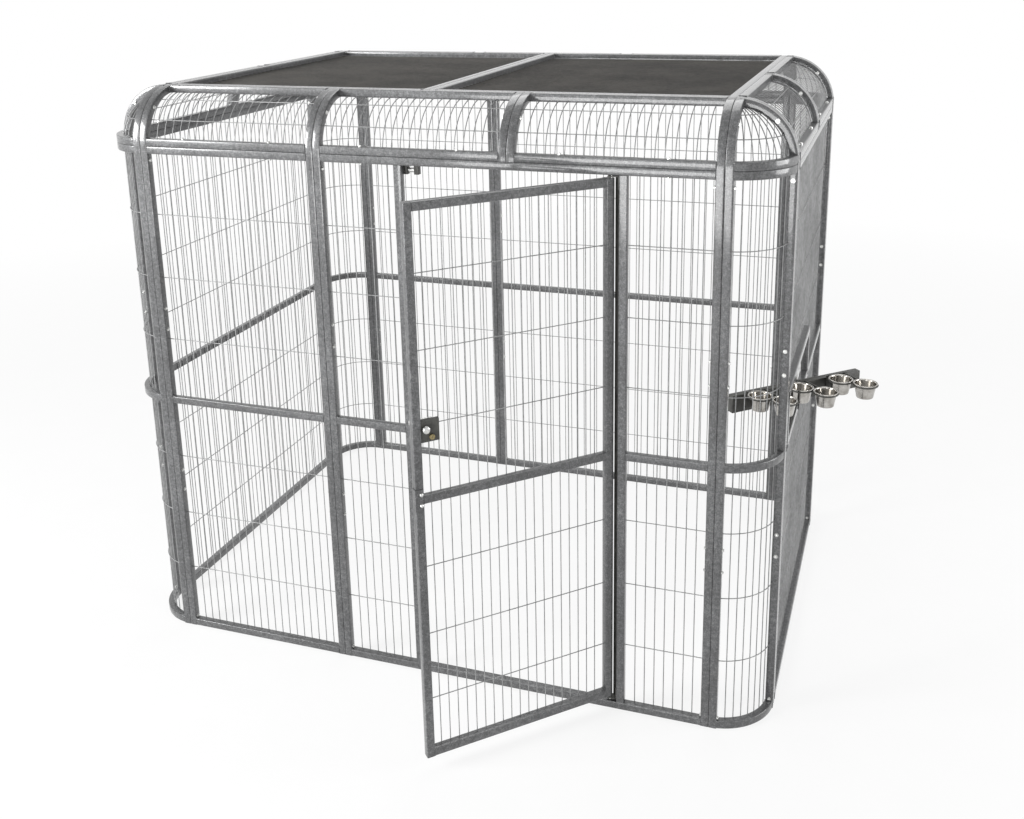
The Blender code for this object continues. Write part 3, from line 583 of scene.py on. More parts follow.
def skin(bm, rings, closed=False):
    """Join rings of points into a skin, capped at both ends unless it closes on itself."""
    made = [[bm.verts.new(point) for point in ring] for ring in rings]
    pairs = list(zip(made, made[1:]))
    if closed:
        pairs.append((made[-1], made[0]))
    for first, second in pairs:
        for n in range(len(first)):
            after = (n + 1) % len(first)
            bm.faces.new((first[n], first[after], second[after], second[n]))
    if not closed:
        bm.faces.new(made[0][::-1])
        bm.faces.new(made[-1])


def bar(bm, start, end, across, deep, size=(TUBE, TUBE), radius=EDGE_RADIUS):
    """A straight bar with rounded edges between two points."""
    outline = rounded_section(*size, radius)
    skin(bm, [[point + across * a + deep * d for a, d in outline] for point in (start, end)])


def circle(centre, out, up, radius, sides):
    """Points round a circle in the plane of two directions."""
    turns = [2 * pi * n / sides for n in range(sides)]
    return [centre + (out * cos(turn) + up * sin(turn)) * radius for turn in turns]


def lathe(bm, profile, sides, place):
    """Turn a profile of (radius, height) round +Z; it starts and ends on the axis or closes."""
    rings = []
    for radius, height in profile:
        points = circle(Z_AXIS * height, X_AXIS, Y_AXIS, radius, sides if radius else 1)
        made = [bm.verts.new(place @ point) for point in points]
        rings.append(made if radius else made * sides)
    for first, second in zip(rings, rings[1:]):
        for n in range(sides):
            after = (n + 1) % sides
            corners = tuple(dict.fromkeys((first[n], first[after], second[after], second[n])))
            bm.faces.new(corners)


def hoop(bm, centre, radius, thickness, sides=48, section=10):
    """A closed ring of round wire, lying flat."""
    middles = circle(centre, X_AXIS, Y_AXIS, radius, sides)
    rings = [circle(point, (point - centre).normalized(), Z_AXIS, thickness, section) for point in middles]
    skin(bm, rings, closed=True)


def weld_bead(bm, middle, along, across, deep, size):
    """A weld round the end of a rail, where it butts on another tube."""
    loop = []
    outline = rounded_section(*size)
    for n, (a, d) in enumerate(outline):
        before, after = outline[n - 1], outline[(n + 1) % len(outline)]
        run = Vector((after[0] - before[0], after[1] - before[1])).normalized()
        out = across * run.y - deep * run.x
        centre = middle + across * a + deep * d
        loop.append(circle(centre, out, along, WELD_RADIUS, WELD_SIDES))
    skin(bm, loop, closed=True)


def radial(angle):
    """Outwards in plan, at an angle round a corner of the cage."""
    return Vector((sin(radians(angle)), -cos(radians(angle)), 0))


def raised(angle):
    """Outwards at a height angle on the bent top edge."""
    return Vector((0, -cos(radians(angle)), sin(radians(angle))))


def angles(low, high, steps):
    """Both ends of a turn and the angles between them, in equal steps."""
    return [low + (high - low) * n / steps for n in range(steps + 1)]


def wire_angles(steps):
    """The turn of a bent wire, which runs a little into the tubes at both ends."""
    return angles(END_ANGLE - WIRE_BITE_ANGLE, 90 + WIRE_BITE_ANGLE - END_ANGLE, steps)


def place_of(point, turn):
    """The matrix that puts a module, drawn from its own corner, into the cage."""
    return Matrix.Translation(Vector(point) + CAGE_MIDDLE) @ Matrix.Rotation(radians(turn), 4, "Z")


def show(name, bm, material, body, crease=35):
    """Make a finished piece from a mesh in place, and let it ride on its body."""
    bmesh.ops.recalc_face_normals(bm, faces=bm.faces)
    for face in bm.faces:
        face.smooth = True
    mesh = bpy.data.meshes.new(name)
    bm.to_mesh(mesh)
    bm.free()
    mesh.materials.append(material)
    mesh.set_sharp_from_angle(angle=radians(crease))
    obj = new_object(name, mesh)
    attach(obj, body)
    return obj


class Grille:
    """One module of the cage: its tubes, and its wires with a nugget at each crossing."""

    def __init__(self, node, body="cage", wire_finish=WIRE_SILVER, wire_radius=WIRE_RADIUS):
        self.node = node
        self.body = body
        self.wire_finish = wire_finish
        self.wire_radius = wire_radius
        self.tubes = bmesh.new()
        self.wires = bmesh.new()
        self.crossings = []

    def post(self, low, bottom, top):
        """An upright tube whose left side is at low."""
        x = low + TUBE / 2
        start, end = Vector((x, TUBE / 2, bottom)), Vector((x, TUBE / 2, top))
        bar(self.tubes, start, end, X_AXIS, Y_AXIS)

    def welded(self, start, end, across, deep, size=(TUBE, TUBE), welds=(True, True)):
        """A straight tube along X, with a weld round each end that has one."""
        bar(self.tubes, start, end, across, deep, size)
        for point, weld in zip((start, end), welds):
            if weld:
                weld_bead(self.tubes, point, X_AXIS, across, deep, size)

    def rail(self, low, high, z, depth=TUBE, welds=(True, True)):
        """A level tube in the panel's plane, flush with its outer face."""
        start, end = Vector((low, depth / 2, z)), Vector((high, depth / 2, z))
        self.welded(start, end, Z_AXIS, Y_AXIS, (TUBE, depth), welds)

    def surround(self, length, rails=RAILS):
        """The posts at both ends of a panel and the rails between them."""
        self.post(0, 0, WALL_HEIGHT)
        self.post(length - TUBE, 0, WALL_HEIGHT)
        for z, depth in rails:
            self.rail(TUBE, length - TUBE, z, depth)

    def bent(self, centre, outward, across, steps, depth=TUBE, welds=()):
        """A tube bent to the cage's radius: outward(angle) is away from the bend's centre."""
        outline = rounded_section(TUBE, depth)
        rings = []
        for angle in steps:
            out = outward(angle)
            middle = centre + out * (BEND_RADIUS - depth / 2)
            rings.append([middle + across * a + out * d for a, d in outline])
        skin(self.tubes, rings)
        for angle in welds:
            out = outward(angle)
            middle = centre + out * (BEND_RADIUS - depth / 2)
            weld_bead(self.tubes, middle, across.cross(out), across, out, (TUBE, depth))

    def wire_row(self, path, count=1, step=(0, 0, 0), turn=(0, 0, 0), pivot=(0, 0, 0)):
        """One wire along a path, or a row of them, stepped along or turned round a pivot."""
        grow(self.wires, WIRE_ROW, path, True, {
            "Wires": count, "Step": step, "Turn": turn, "Pivot": tuple(pivot),
            "Wire radius": self.wire_radius, "Sides": WIRE_SIDES,
        })

    def bay(self, low, high, bottom, top, count, heights):
        """Fill the span between two posts with upright and cross wires."""
        pitch = (high - low) / (count + 1)
        foot, head = bottom + TUBE - WIRE_BITE, top - TUBE + WIRE_BITE
        path = [Vector((low + pitch, UPRIGHT_DEPTH, z)) for z in (foot, head)]
        self.wire_row(path, count, (pitch, 0, 0))
        for z in heights:
            self.wire_row([Vector((x, CROSS_DEPTH, z)) for x in (low - WIRE_BITE, high + WIRE_BITE)])
        for n in range(count):
            x = low + pitch * (n + 1)
            self.crossings += [Vector((x, CROSSING_DEPTH, z)) for z in heights]

    def put_in(self, place):
        """Turn the module into its place and show it instead of its plain solid."""
        if self.crossings:
            grow(self.wires, NUGGETS, self.crossings, False, {"Nugget radius": NUGGET_RADIUS})
        self.tubes.transform(place)
        self.wires.transform(place)
        # The welds of the bottom rails would dip below the floor
        for vertex in self.tubes.verts:
            vertex.co.z = max(vertex.co.z, 0.0)
        tubes = show("tubes_" + self.node, self.tubes, SILVER, self.body)
        show("wires_" + self.node, self.wires, self.wire_finish, self.body, crease=60)
        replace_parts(tubes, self.node)


def panel(node, length, wires, place):
    """A plain flat panel with a mid rail."""
    grille = Grille(node)
    grille.surround(length)
    grille.bay(TUBE, length - TUBE, 0, WALL_HEIGHT, wires, cross_heights())
    grille.put_in(place)


def door_panel(node, place):
    """The doorway between two jambs, with a narrow wired strip on each side."""
    grille = Grille(node)
    length = 2 * MODULE
    latch, hinge = length / 2 - DOORWAY / 2, length / 2 + DOORWAY / 2
    grille.surround(length, RAILS[::2])
    for low in (latch - TUBE, hinge):
        grille.post(low, TUBE, WALL_HEIGHT - TUBE)
    for low, high in ((TUBE, latch - TUBE), (hinge + TUBE, length - TUBE)):
        grille.rail(low, high, MID_RAIL_Z, MID_RAIL_DEPTH)
        grille.bay(low, high, 0, WALL_HEIGHT, STRIP_WIRES, cross_heights())
    grille.put_in(place)


def feeder_panel(node, place):
    """The side panel with a framed slot for the feeder above its mid rail."""
    grille = Grille(node)
    length = 2 * MODULE
    middle = FEEDER_Y - SIDE_START
    low, high = middle - SLOT_HALF, middle + SLOT_HALF
    grille.surround(length, RAILS[::2])
    grille.rail(TUBE, low - TUBE, MID_RAIL_Z, MID_RAIL_DEPTH)
    grille.rail(high + TUBE, length - TUBE, MID_RAIL_Z, MID_RAIL_DEPTH)
    grille.rail(low - TUBE, high + TUBE, MID_RAIL_Z, welds=(False, False))
    grille.rail(low - TUBE, high + TUBE, SLOT_TOP + TUBE / 2, welds=(False, False))
    rail_top = MID_RAIL_Z + TUBE / 2
    for x in (low - TUBE, high):
        grille.post(x, rail_top, SLOT_TOP)
    pitch = (length - 2 * TUBE) / (WIDE_WIRES + 1)
    foot, head = TUBE - WIRE_BITE, WALL_HEIGHT - TUBE + WIRE_BITE
    spans = []
    for n in range(WIDE_WIRES):
        x = TUBE + pitch * (n + 1)
        if low - TUBE - WIRE_RADIUS < x < high + TUBE + WIRE_RADIUS:
            under = (foot, MID_RAIL_Z - TUBE / 2 + WIRE_BITE)
            over = (SLOT_TOP + TUBE - WIRE_BITE, head)
            spans += [(x, under), (x, over)]
        else:
            spans.append((x, (foot, head)))
    heights = cross_heights()
    for x, (start, end) in spans:
        grille.wire_row([Vector((x, UPRIGHT_DEPTH, z)) for z in (start, end)])
        grille.crossings += [Vector((x, CROSSING_DEPTH, z)) for z in heights if start < z < end]
    for z in heights:
        ends = (TUBE - WIRE_BITE, length - TUBE + WIRE_BITE)
        grille.wire_row([Vector((x, CROSS_DEPTH, z)) for x in ends])
    grille.put_in(place)


def corner(node, place):
    """A quarter-round corner: two posts, three bent rails and upright wires."""
    grille = Grille(node)
    centre = Vector((0, BEND_RADIUS, 0))
    grille.post(0, 0, WALL_HEIGHT)
    far = BEND_RADIUS - TUBE / 2
    bar(grille.tubes, Vector((far, far, 0)), Vector((far, far, WALL_HEIGHT)), X_AXIS, Y_AXIS)
    for z, depth in RAILS:
        steps = angles(BENT_FROM, BENT_TO, BEND_STEPS)
        grille.bent(centre + Z_AXIS * z, radial, Z_AXIS, steps, depth, BEND_WELDS)
    foot, head = TUBE - WIRE_BITE, WALL_HEIGHT - TUBE + WIRE_BITE
    start = centre + radial(FIRST_CORNER_WIRE) * (BEND_RADIUS - UPRIGHT_DEPTH)
    grille.wire_row(
        [start + Z_AXIS * z for z in (foot, head)],
        CORNER_WIRES, turn=(0, 0, radians(CORNER_TURN)), pivot=centre,
    )
    for z in cross_heights():
        arc = wire_angles(BEND_STEPS)
        grille.wire_row([centre + radial(a) * (BEND_RADIUS - CROSS_DEPTH) + Z_AXIS * z for a in arc])
        for n in range(CORNER_WIRES):
            out = radial(FIRST_CORNER_WIRE + CORNER_TURN * n)
            grille.crossings.append(centre + out * (BEND_RADIUS - CROSSING_DEPTH) + Z_AXIS * z)
    grille.put_in(place)


def top_edge(node, place):
    """A length of the bent top edge: two ribs, a sill, a top rail and bent wires."""
    grille = Grille(node)
    centre = Vector((0, BEND_RADIUS, 0))
    for x in (TUBE / 2, MODULE - TUBE / 2):
        grille.bent(centre + X_AXIS * x, raised, X_AXIS, angles(0, 90, BEND_STEPS))
    grille.rail(TUBE, MODULE - TUBE, TUBE / 2)
    top = BEND_RADIUS - TUBE / 2
    grille.welded(Vector((TUBE, top, top)), Vector((MODULE - TUBE, top, top)), Z_AXIS, Y_AXIS)
    pitch = (MODULE - 2 * TUBE) / (NARROW_WIRES + 1)
    first = centre + X_AXIS * (TUBE + pitch)
    path = [first + raised(a) * (BEND_RADIUS - UPRIGHT_DEPTH) for a in wire_angles(WIRE_BEND_STEPS)]
    grille.wire_row(path, NARROW_WIRES, (pitch, 0, 0))
    low_lift, high_lift = TOP_EDGE_LIFTS
    level = centre + raised(low_lift) * (BEND_RADIUS - CROSS_DEPTH)
    ends = (TUBE - WIRE_BITE, MODULE - TUBE + WIRE_BITE)
    grille.wire_row(
        [level + X_AXIS * x for x in ends],
        2, turn=(-radians(high_lift - low_lift), 0, 0), pivot=centre,
    )
    for lift in TOP_EDGE_LIFTS:
        out = raised(lift) * (BEND_RADIUS - CROSSING_DEPTH)
        grille.crossings += [
            centre + X_AXIS * (TUBE + pitch * (n + 1)) + out for n in range(NARROW_WIRES)
        ]
    grille.put_in(place)


def top_corner(node, place):
    """An eighth of a ball: a bent sill, two ribs and wires that fan up between them."""
    grille = Grille(node)
    centre = Vector((0, BEND_RADIUS, 0))

    def sideways(angle):
        return Vector((cos(radians(angle)), 0, sin(radians(angle))))

    grille.bent(centre + X_AXIS * TUBE / 2, raised, X_AXIS, angles(0, 90, BEND_STEPS))
    grille.bent(centre - Y_AXIS * TUBE / 2, sideways, Y_AXIS, angles(0, BENT_TO, BEND_STEPS))
    sill = angles(BENT_FROM, BENT_TO, BEND_STEPS)
    grille.bent(centre + Z_AXIS * TUBE / 2, radial, Z_AXIS, sill, welds=BEND_WELDS)
    radius = BEND_RADIUS - UPRIGHT_DEPTH
    last = degrees(acos(TUBE / radius))
    path = []
    for lift in angles(END_ANGLE - WIRE_BITE_ANGLE, last, WIRE_BEND_STEPS):
        ray = radial(FIRST_CORNER_WIRE) * cos(radians(lift)) + Z_AXIS * sin(radians(lift))
        path.append(centre + ray * radius)
    grille.wire_row(path, CORNER_WIRES, turn=(0, 0, radians(CORNER_TURN)), pivot=centre)
    for lift in TOP_EDGE_LIFTS:
        flat, height = cos(radians(lift)), sin(radians(lift))
        reach = BEND_RADIUS - CROSS_DEPTH
        bite = degrees(asin(TUBE / 2 / (reach * flat)))
        arc = angles(bite, 90 - bite, WIRE_BEND_STEPS)
        grille.wire_row([centre + (radial(a) * flat + Z_AXIS * height) * reach for a in arc])
        for n in range(CORNER_WIRES):
            ray = radial(FIRST_CORNER_WIRE + CORNER_TURN * n) * flat + Z_AXIS * height
            grille.crossings.append(centre + ray * (BEND_RADIUS - CROSSING_DEPTH))
    grille.put_in(place)


def roof(node, place):
    """Half of the flat roof, with its wires across the cage."""
    # Stouter wires than elsewhere: the photograph's roof hides what lies behind it; their far darker paint
    # is painted shade
    grille = Grille(node, wire_finish=SHADED_ROOF_WIRE, wire_radius=ROOF_WIRE_RADIUS)
    width, length = WIDTH / 2 - BEND_RADIUS, 2 * MODULE
    for x in (TUBE / 2, width - TUBE / 2):
        bar(grille.tubes, Vector((x, 0, -TUBE / 2)), Vector((x, length, -TUBE / 2)), X_AXIS, Z_AXIS)
    for y in (TUBE / 2, length - TUBE / 2):
        start, end = Vector((TUBE, y, -TUBE / 2)), Vector((width - TUBE, y, -TUBE / 2))
        grille.welded(start, end, Y_AXIS, Z_AXIS)
    pitch = (length - 2 * TUBE) / (WIDE_WIRES + 1)
    ends = (TUBE - WIRE_BITE, width - TUBE + WIRE_BITE)
    path = [Vector((x, TUBE + pitch, -CROSS_DEPTH)) for x in ends]
    grille.wire_row(path, WIDE_WIRES, (0, pitch, 0))
    ends = (TUBE - WIRE_BITE, length - TUBE + WIRE_BITE)
    for x in between(TUBE, width - TUBE, CROSS_WIRES + 1):
        grille.wire_row([Vector((x, y, -UPRIGHT_DEPTH)) for y in ends])
        across = [TUBE + pitch * (n + 1) for n in range(WIDE_WIRES)]
        grille.crossings += [Vector((x, y, -CROSSING_DEPTH)) for y in across]
    grille.put_in(place)


def door_place():
    """From the leaf's own layout, free edge at x = 0, to the open door."""
    swing = Matrix.Translation(HINGE_AXIS) @ Matrix.Rotation(radians(DOOR_OPEN), 4, "Z")
    return swing, swing @ Matrix.Translation((FREE_EDGE, -HINGE_INSET, 0))


def door_leaf():
    """The leaf: tube all round, a mid rail and its wires."""
    grille = Grille("door_leaf", "door")
    grille.post(0, LEAF_BOTTOM, LEAF_TOP)
    grille.post(LEAF_WIDTH - TUBE, LEAF_BOTTOM, LEAF_TOP)
    grille.rail(TUBE, LEAF_WIDTH - TUBE, LEAF_BOTTOM + TUBE / 2)
    grille.rail(TUBE, LEAF_WIDTH - TUBE, MID_RAIL_Z, MID_RAIL_DEPTH)
    # Ground flush at the free end, which closes against the keeper
    grille.rail(TUBE, LEAF_WIDTH - TUBE, LEAF_TOP - TUBE / 2, welds=(False, True))
    grille.bay(TUBE, LEAF_WIDTH - TUBE, LEAF_BOTTOM, LEAF_TOP, NARROW_WIRES, cross_heights())
    grille.put_in(door_place()[1])


def build_cage():
    """Every module of the cage in its place."""
    back, right = -FRONT, -LEFT
    panel("wall_front_left", MODULE, NARROW_WIRES, place_of((PANEL_LEFT, FRONT, 0), 0))
    door_panel("wall_front_door", place_of((PANEL_LEFT + MODULE, FRONT, 0), 0))
    panel("wall_back_right", 2 * MODULE, WIDE_WIRES, place_of((-PANEL_LEFT, back, 0), 180))
    panel("wall_back_left", MODULE, NARROW_WIRES, place_of((PANEL_LEFT + MODULE, back, 0), 180))
    feeder_panel("wall_right", place_of((right, SIDE_START, 0), 90))
    panel("wall_left", 2 * MODULE, WIDE_WIRES, place_of((LEFT, -SIDE_START, 0), 270))
    corners = (
        ("front_right", (-PANEL_LEFT, FRONT), 0),
        ("back_right", (right, -SIDE_START), 90),
        ("back_left", (PANEL_LEFT, back), 180),
        ("front_left", (LEFT, SIDE_START), 270),
    )
    for name, (x, y), turn in corners:
        corner("corner_" + name, place_of((x, y, 0), turn))
        top_corner("top_corner_" + name, place_of((x, y, WALL_HEIGHT), turn))
    for n in range(3):
        x = PANEL_LEFT + n * MODULE
        top_edge(f"top_edge_front_{n + 1}", place_of((x, FRONT, WALL_HEIGHT), 0))
        top_edge(f"top_edge_back_{n + 1}", place_of((x + MODULE, back, WALL_HEIGHT), 180))
    for n in range(2):
        y = SIDE_START + n * MODULE
        top_edge(f"top_edge_right_{n + 1}", place_of((right, y, WALL_HEIGHT), 90))
        top_edge(f"top_edge_left_{n + 1}", place_of((LEFT, y + MODULE, WALL_HEIGHT), 270))
    roof("roof_left", place_of((PANEL_LEFT, SIDE_START, HEIGHT), 0))
    roof("roof_right", place_of((0, SIDE_START, HEIGHT), 0))


def build_bolts():
    """Bolts through neighbouring posts and ribs, and through the top edge's sills."""
    facings = {}

    def bolt(middle, along):
        """A head on each side of the two tubes that touch at the middle."""
        for facing in (along, -along):
            key = tuple(round(n) for n in facing)
            facings.setdefault(key, []).append(middle + facing * TUBE + CAGE_MIDDLE)

    lift = radians(RIB_BOLT_LIFT)
    for face, along, inward, modules in WALLS:
        post = face + inward * TUBE / 2
        out = Z_AXIS * sin(lift) - inward * cos(lift)
        rib = face + inward * BEND_RADIUS + out * (BEND_RADIUS - TUBE / 2) + Z_AXIS * WALL_HEIGHT
        for n in range(modules + 1):
            seam = along * MODULE * (n - modules / 2)
            bolt(rib + seam, along)
            # The last two modules of each wall are one long panel, with no seam between them
            if n != modules - 1:
                for z in BOLT_HEIGHTS:
                    bolt(post + seam + Z_AXIS * z, along)
        for n in range(modules):
            for share in SILL_BOLTS:
                middle = post + along * MODULE * (n + share - modules / 2)
                bolt(middle + Z_AXIS * WALL_HEIGHT, Z_AXIS)
    bm = bmesh.new()
    for facing, points in facings.items():
        grow(bm, BOLT_HEADS, points, False, {
            "Facing": facing, "Head radius": BOLT_HEAD, "Head height": BOLT_HEAD_HEIGHT,
            "Washer radius": BOLT_WASHER,
        })
    show("frame_bolts", bm, ZINC, "cage", crease=30)


def softened(node, material, body, edge=FITTING_EDGE):
    """A copy of a small solid with its sharp edges rounded over, shown instead of it."""
    bm = bmesh.new()
    bm.from_mesh(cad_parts[node].data)
    bmesh.ops.remove_doubles(bm, verts=bm.verts, dist=1e-5)
    bmesh.ops.dissolve_limit(bm, angle_limit=radians(1), verts=bm.verts, edges=bm.edges)
    mesh = bpy.data.meshes.new("soft_" + node)
    bm.to_mesh(mesh)
    bm.free()
    rough = new_object("rough", mesh)
    bevel = rough.modifiers.new("edges", "BEVEL")
    bevel.width = edge
    bevel.segments = 2
    bevel.limit_method = "ANGLE"
    bevel.angle_limit = radians(40)
    soft = bmesh.new()
    use_up(rough, soft)
    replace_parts(show("detail_" + node, soft, material, body), node)


def turned_piece(name, node, profile, place, material, body, sides=40, crease=35):
    """A piece turned on the lathe, shown instead of a plain solid."""
    bm = bmesh.new()
    lathe(bm, profile, sides, place)
    if profile[0] == profile[-1]:
        bmesh.ops.remove_doubles(bm, verts=bm.verts, dist=1e-6)
    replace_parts(show(name, bm, material, body, crease), node)


def round_bar(radius, low, high, edge):
    """The profile of a round bar whose two ends have their edges broken."""
    return [
        (0, low), (radius - edge, low), (radius, low + edge),
        (radius, high - edge), (radius - edge, high), (0, high),
    ]


def build_fittings():
    """Brackets, stop strip, strike, lock case and beam with softened edges; hinge pins and stud."""
    for node in (
        "hinge_bracket_bottom", "hinge_bracket_top", "door_stop_strip", "keeper_bracket",
        "feeder_pivot_base",
    ):
        softened(node, DARK, "cage")
    softened("catch_strike", ZINC, "cage")
    softened("lock_case", DARK, "door", edge=0.0012)
    softened("bolt_guide", DARK, "door", edge=0.0004)
    softened("lock_bolt", ZINC, "lock_slide", edge=0.0008)
    softened("feeder_beam", DARK, "feeder", edge=ARM_EDGE)
    for node in ("hinge_pin_bottom", "hinge_pin_top"):
        low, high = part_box(node)
        middle = (low + high) / 2
        profile = round_bar(HINGE_PIN_RADIUS, low.z, high.z, FITTING_EDGE)
        place = Matrix.Translation((middle.x, middle.y, 0))
        turned_piece("round_" + node, node, profile, place, ZINC, "door", sides=24)
    low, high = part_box("keeper_stud")
    middle, half = (low + high) / 2, (high.x - low.x) / 2
    profile = round_bar(KEEPER_STUD_RADIUS, -half, half, KEEPER_STUD_EDGE)
    place = Matrix.Translation(middle) @ Matrix.Rotation(radians(90), 4, "Y")
    turned_piece("round_keeper_stud", "keeper_stud", profile, place, ZINC, "cage", sides=32)


def build_lock():
    """Knob on its spindle, key cylinder, and the catch with its two domed bolts."""
    swing, leaf = door_place()
    outward = Matrix.Rotation(radians(90), 4, "X")
    place = swing @ Matrix.Translation(SPINDLE) @ outward
    turned_piece("knob_and_spindle", "lock_knob", KNOB_PROFILE, place, ZINC, "lock_spindle")
    place = swing @ Matrix.Translation(KEYHOLE) @ outward
    turned_piece("key_cylinder", "lock_cylinder", KEY_CYLINDER_PROFILE, place, BRASS, "door")

    bm = bmesh.new()
    turned = swing.to_3x3()
    middle = KEYHOLE - Y_AXIS * KEYWAY_FACE
    ends = (swing @ (middle + Z_AXIS * z) for z in (-KEYWAY_HALF, KEYWAY_HALF))
    bar(bm, *ends, turned @ X_AXIS, turned @ Y_AXIS, KEYWAY_SIZE, radius=0.0001)
    show("keyway", bm, DARK, "door")

    bm = bmesh.new()
    for middle, wide, across, deep in (
        ((CATCH_FACE_MIDDLE, -CATCH_OFF_TUBE), CATCH_FACE_WIDTH, X_AXIS, Y_AXIS),
        ((-CATCH_OFF_TUBE, CATCH_EDGE_MIDDLE), CATCH_EDGE_WIDTH, Y_AXIS, X_AXIS),
    ):
        ends = (leaf @ Vector((*middle, z)) for z in CATCH_Z)
        size = (wide, CATCH_THICKNESS)
        bar(bm, *ends, turned @ across, turned @ deep, size, radius=FITTING_EDGE)
    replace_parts(show("catch_plate", bm, SILVER, "door"), "door_catch")

    bm = bmesh.new()
    # A quarter of the plate's height from either end
    for z in between(*CATCH_Z, 4)[::2]:
        place = leaf @ Matrix.Translation((CATCH_BOLT_INSET, 0, z)) @ outward
        lathe(bm, CATCH_BOLT_PROFILE, 28, place)
    show("catch_bolts", bm, ZINC, "door")


def build_feeder():
    """Rings and arms that carry the cups, the cups, and the pin they all turn on."""
    swing = Matrix.Translation(PIVOT) @ Matrix.Rotation(radians(FEEDER_TURN), 4, "Z")
    front = -TUBE / 2
    foot, lip = CUP_LIP_Z - CUP_DEPTH, CUP_LIP_Z
    cup_profile = [
        (radius, level + height)
        for level, part in ((foot, CUP_SIDE), (lip, CUP_LIP), (foot, CUP_INSIDE))
        for radius, height in part
    ]
    for n in range(3):
        at = HOLDER_START + n * HOLDER_PITCH
        near = Vector((at, -RING_ROW, 0))
        far = near + Vector((*RING_STEP, 0))
        bm = bmesh.new()
        for centre in (near, far):
            hoop(bm, centre + Z_AXIS * RING_MIDDLE_Z, RING_RADIUS, RING_WIRE)
        ends = (Vector((at + HOLDER_PLATE_SHIFT, front - HOLDER_PLATE_OFF_BEAM, z)) for z in HOLDER_PLATE_Z)
        bar(bm, *ends, X_AXIS, Y_AXIS, HOLDER_PLATE_SIZE, radius=0.0008)
        for x, y in ((at, near.y), (far.x + FAR_ARM_SHIFT, far.y)):
            reach = (y + RING_RADIUS - ARM_BITE, front - ARM_OFF_BEAM)
            ends = (Vector((x, y, RING_MIDDLE_Z - ARM_DROP)) for y in reach)
            bar(bm, *ends, X_AXIS, Z_AXIS, ARM_SIZE, radius=ARM_EDGE)
        bm.transform(swing)
        holder = show(f"ring_holder_{n + 1}", bm, DARK, "feeder")
        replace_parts(holder, f"cup_holder_{n + 1}")
        for number, centre in ((2 * n + 1, near), (2 * n + 2, far)):
            place = swing @ Matrix.Translation(centre)
            turned_piece(
                f"spun_cup_{number}", f"cup_{number}", cup_profile, place,
                STAINLESS, f"loose_cup_{number}", sides=64, crease=50,
            )

    low, high = (end.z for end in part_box("feeder_pivot_pin"))
    profile = [(0, low), (PIN_RADIUS, low), (PIN_RADIUS, high - PIN_END), (PIN_END_RADIUS, high), (0, high)]
    place = Matrix.Translation((PIVOT.x, PIVOT.y, 0))
    turned_piece("pivot_pin", "feeder_pivot_pin", profile, place, ZINC, "cage", sides=32)
    low, high = (end.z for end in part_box("feeder_washer"))
    rim = round_bar(WASHER_RADIUS, low, high, WASHER_EDGE)[1:-1]
    profile = [(WASHER_HOLE, low), *rim, (WASHER_HOLE, high), (WASHER_HOLE, low)]
    turned_piece("pivot_washer", "feeder_washer", profile, place, ZINC, "cage")


def seen_directly(board):
    """One for what the camera sees, straight or through a reflection or glass; nought for light."""
    path = board.tree.nodes.new("ShaderNodeLightPath")
    names = ("Is Camera Ray", "Is Glossy Ray", "Is Transmission Ray")
    camera, glossy, through = (Signal(board, path.outputs[name]) for name in names)
    return camera + glossy + through


def plain_stage():
    """A pale floor that keeps the shadow and whitens away from the cage, and a white surround."""
    material, board, place = new_finish("pale_floor")
    tree = material.node_tree
    grain = board.noise(place, 6.0, 4.0)
    coat(material, {
        "Base Color": board.ramp(grain, [(0.3, (0.80, 0.80, 0.80)), (0.7, (0.84, 0.84, 0.84))]),
        "Roughness": 0.75,
    })
    away = board.node(
        "ShaderNodeVectorMath", {0: place, 1: tuple(CAGE_MIDDLE)}, take="Value", operation="DISTANCE",
    )
    near, far = FLOOR_FADE
    share = board.node("ShaderNodeMapRange", {
        "Value": away, "From Min": near, "From Max": far, "To Min": FLOOR_WHITE, "To Max": 1.0,
    })
    white = board.node("ShaderNodeEmission", {"Color": (1, 1, 1, 1), "Strength": 1.0})
    mixed = board.node("ShaderNodeMixShader", {
        0: seen_directly(board) * share,
        1: Signal(board, tree.nodes["Principled BSDF"].outputs[0]),
        2: white,
    })
    board.feed(tree.nodes["Material Output"], {"Surface": mixed})
    mesh = bpy.data.meshes.new("floor")
    corners = ((-1, -1), (1, -1), (1, 1), (-1, 1))
    points = [(x * FLOOR_REACH, y * FLOOR_REACH, -FLOOR_DROP) for x, y in corners]
    mesh.from_pydata(points, [], [(0, 1, 2, 3)])
    mesh.materials.append(material)
    new_object("floor", mesh)

    world = bpy.data.worlds.new("white_studio")
    bpy.context.scene.world = world
    world.use_nodes = True
    air = Board(world.node_tree)
    strength = ROOM_LIGHT + seen_directly(air) * (1 - ROOM_LIGHT)
    air.feed(world.node_tree.nodes["Background"], {"Color": (1, 1, 1, 1), "Strength": strength})


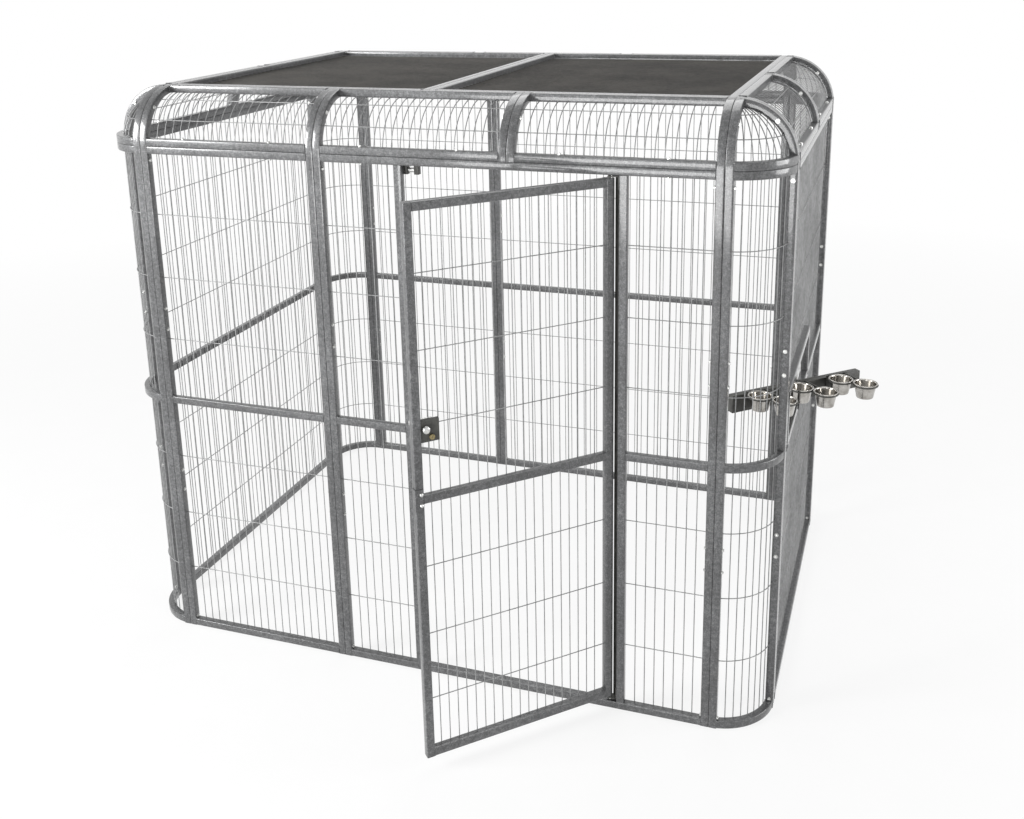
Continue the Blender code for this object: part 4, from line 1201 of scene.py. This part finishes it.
def lamp(name, at, aim, size, power):
    """A soft box at a place, turned towards what it lights."""
    light = bpy.data.lights.new(name, "AREA")
    light.shape = "RECTANGLE"
    light.size, light.size_y = size
    light.energy = power
    obj = new_object(name, light)
    obj.location = at
    obj.rotation_euler = (Vector(aim) - Vector(at)).to_track_quat("-Z", "Y").to_euler()


def studio_light():
    """Soft boxes: high on the left, overhead, on the right, and low in front."""
    lamp("key_box", (-3.8, -3.0, 2.8), (0.0, 0.2, 1.1), (2.2, 2.2), 330)
    lamp("top_box", (0.0, 2.6, 4.8), (0.0, 0.8, 0.6), (3.6, 2.8), 80)
    lamp("side_box", (5.0, 1.0, 2.0), (1.1, 0.8, 1.0), (2.4, 2.4), 130)
    lamp("low_box", (-0.2, -4.6, 1.0), (0.0, 0.0, 0.9), (3.0, 1.2), 110)


# Fitted to the photograph with less lens shift than the photograph has, so that other views keep
# the cage in the picture; the angles are in radians
CAMERA_AT = Vector((1.4256, -3.8977, 2.3608)) + CAGE_MIDDLE
CAMERA_YAW, CAMERA_PITCH, CAMERA_ROLL = -0.3416, -0.2705, -0.0204
CAMERA_LENS = 40.29
CAMERA_SHIFT = -0.140


def photograph_camera():
    """The camera, from its place, its three angles, its lens and its shift."""
    ahead = Vector((
        sin(CAMERA_YAW) * cos(CAMERA_PITCH), cos(CAMERA_YAW) * cos(CAMERA_PITCH), sin(CAMERA_PITCH),
    ))
    level = Vector((cos(CAMERA_YAW), -sin(CAMERA_YAW), 0))
    rising = level.cross(ahead)
    right = level * cos(CAMERA_ROLL) + rising * sin(CAMERA_ROLL)
    up = rising * cos(CAMERA_ROLL) - level * sin(CAMERA_ROLL)
    data = bpy.data.cameras.new("photograph_camera")
    data.sensor_width = 36.0
    data.sensor_fit = "HORIZONTAL"
    data.lens = CAMERA_LENS
    data.shift_y = CAMERA_SHIFT
    camera = new_object("photograph_camera", data)
    turn = Matrix((right, up, -ahead)).transposed().to_4x4()
    camera.matrix_world = Matrix.Translation(CAMERA_AT) @ turn
    bpy.context.scene.camera = camera


photograph_camera()
build_cage()
door_leaf()
build_bolts()
build_fittings()
build_lock()
build_feeder()
plain_stage()
studio_light()
bpy.context.scene.view_settings.view_transform = "Standard"
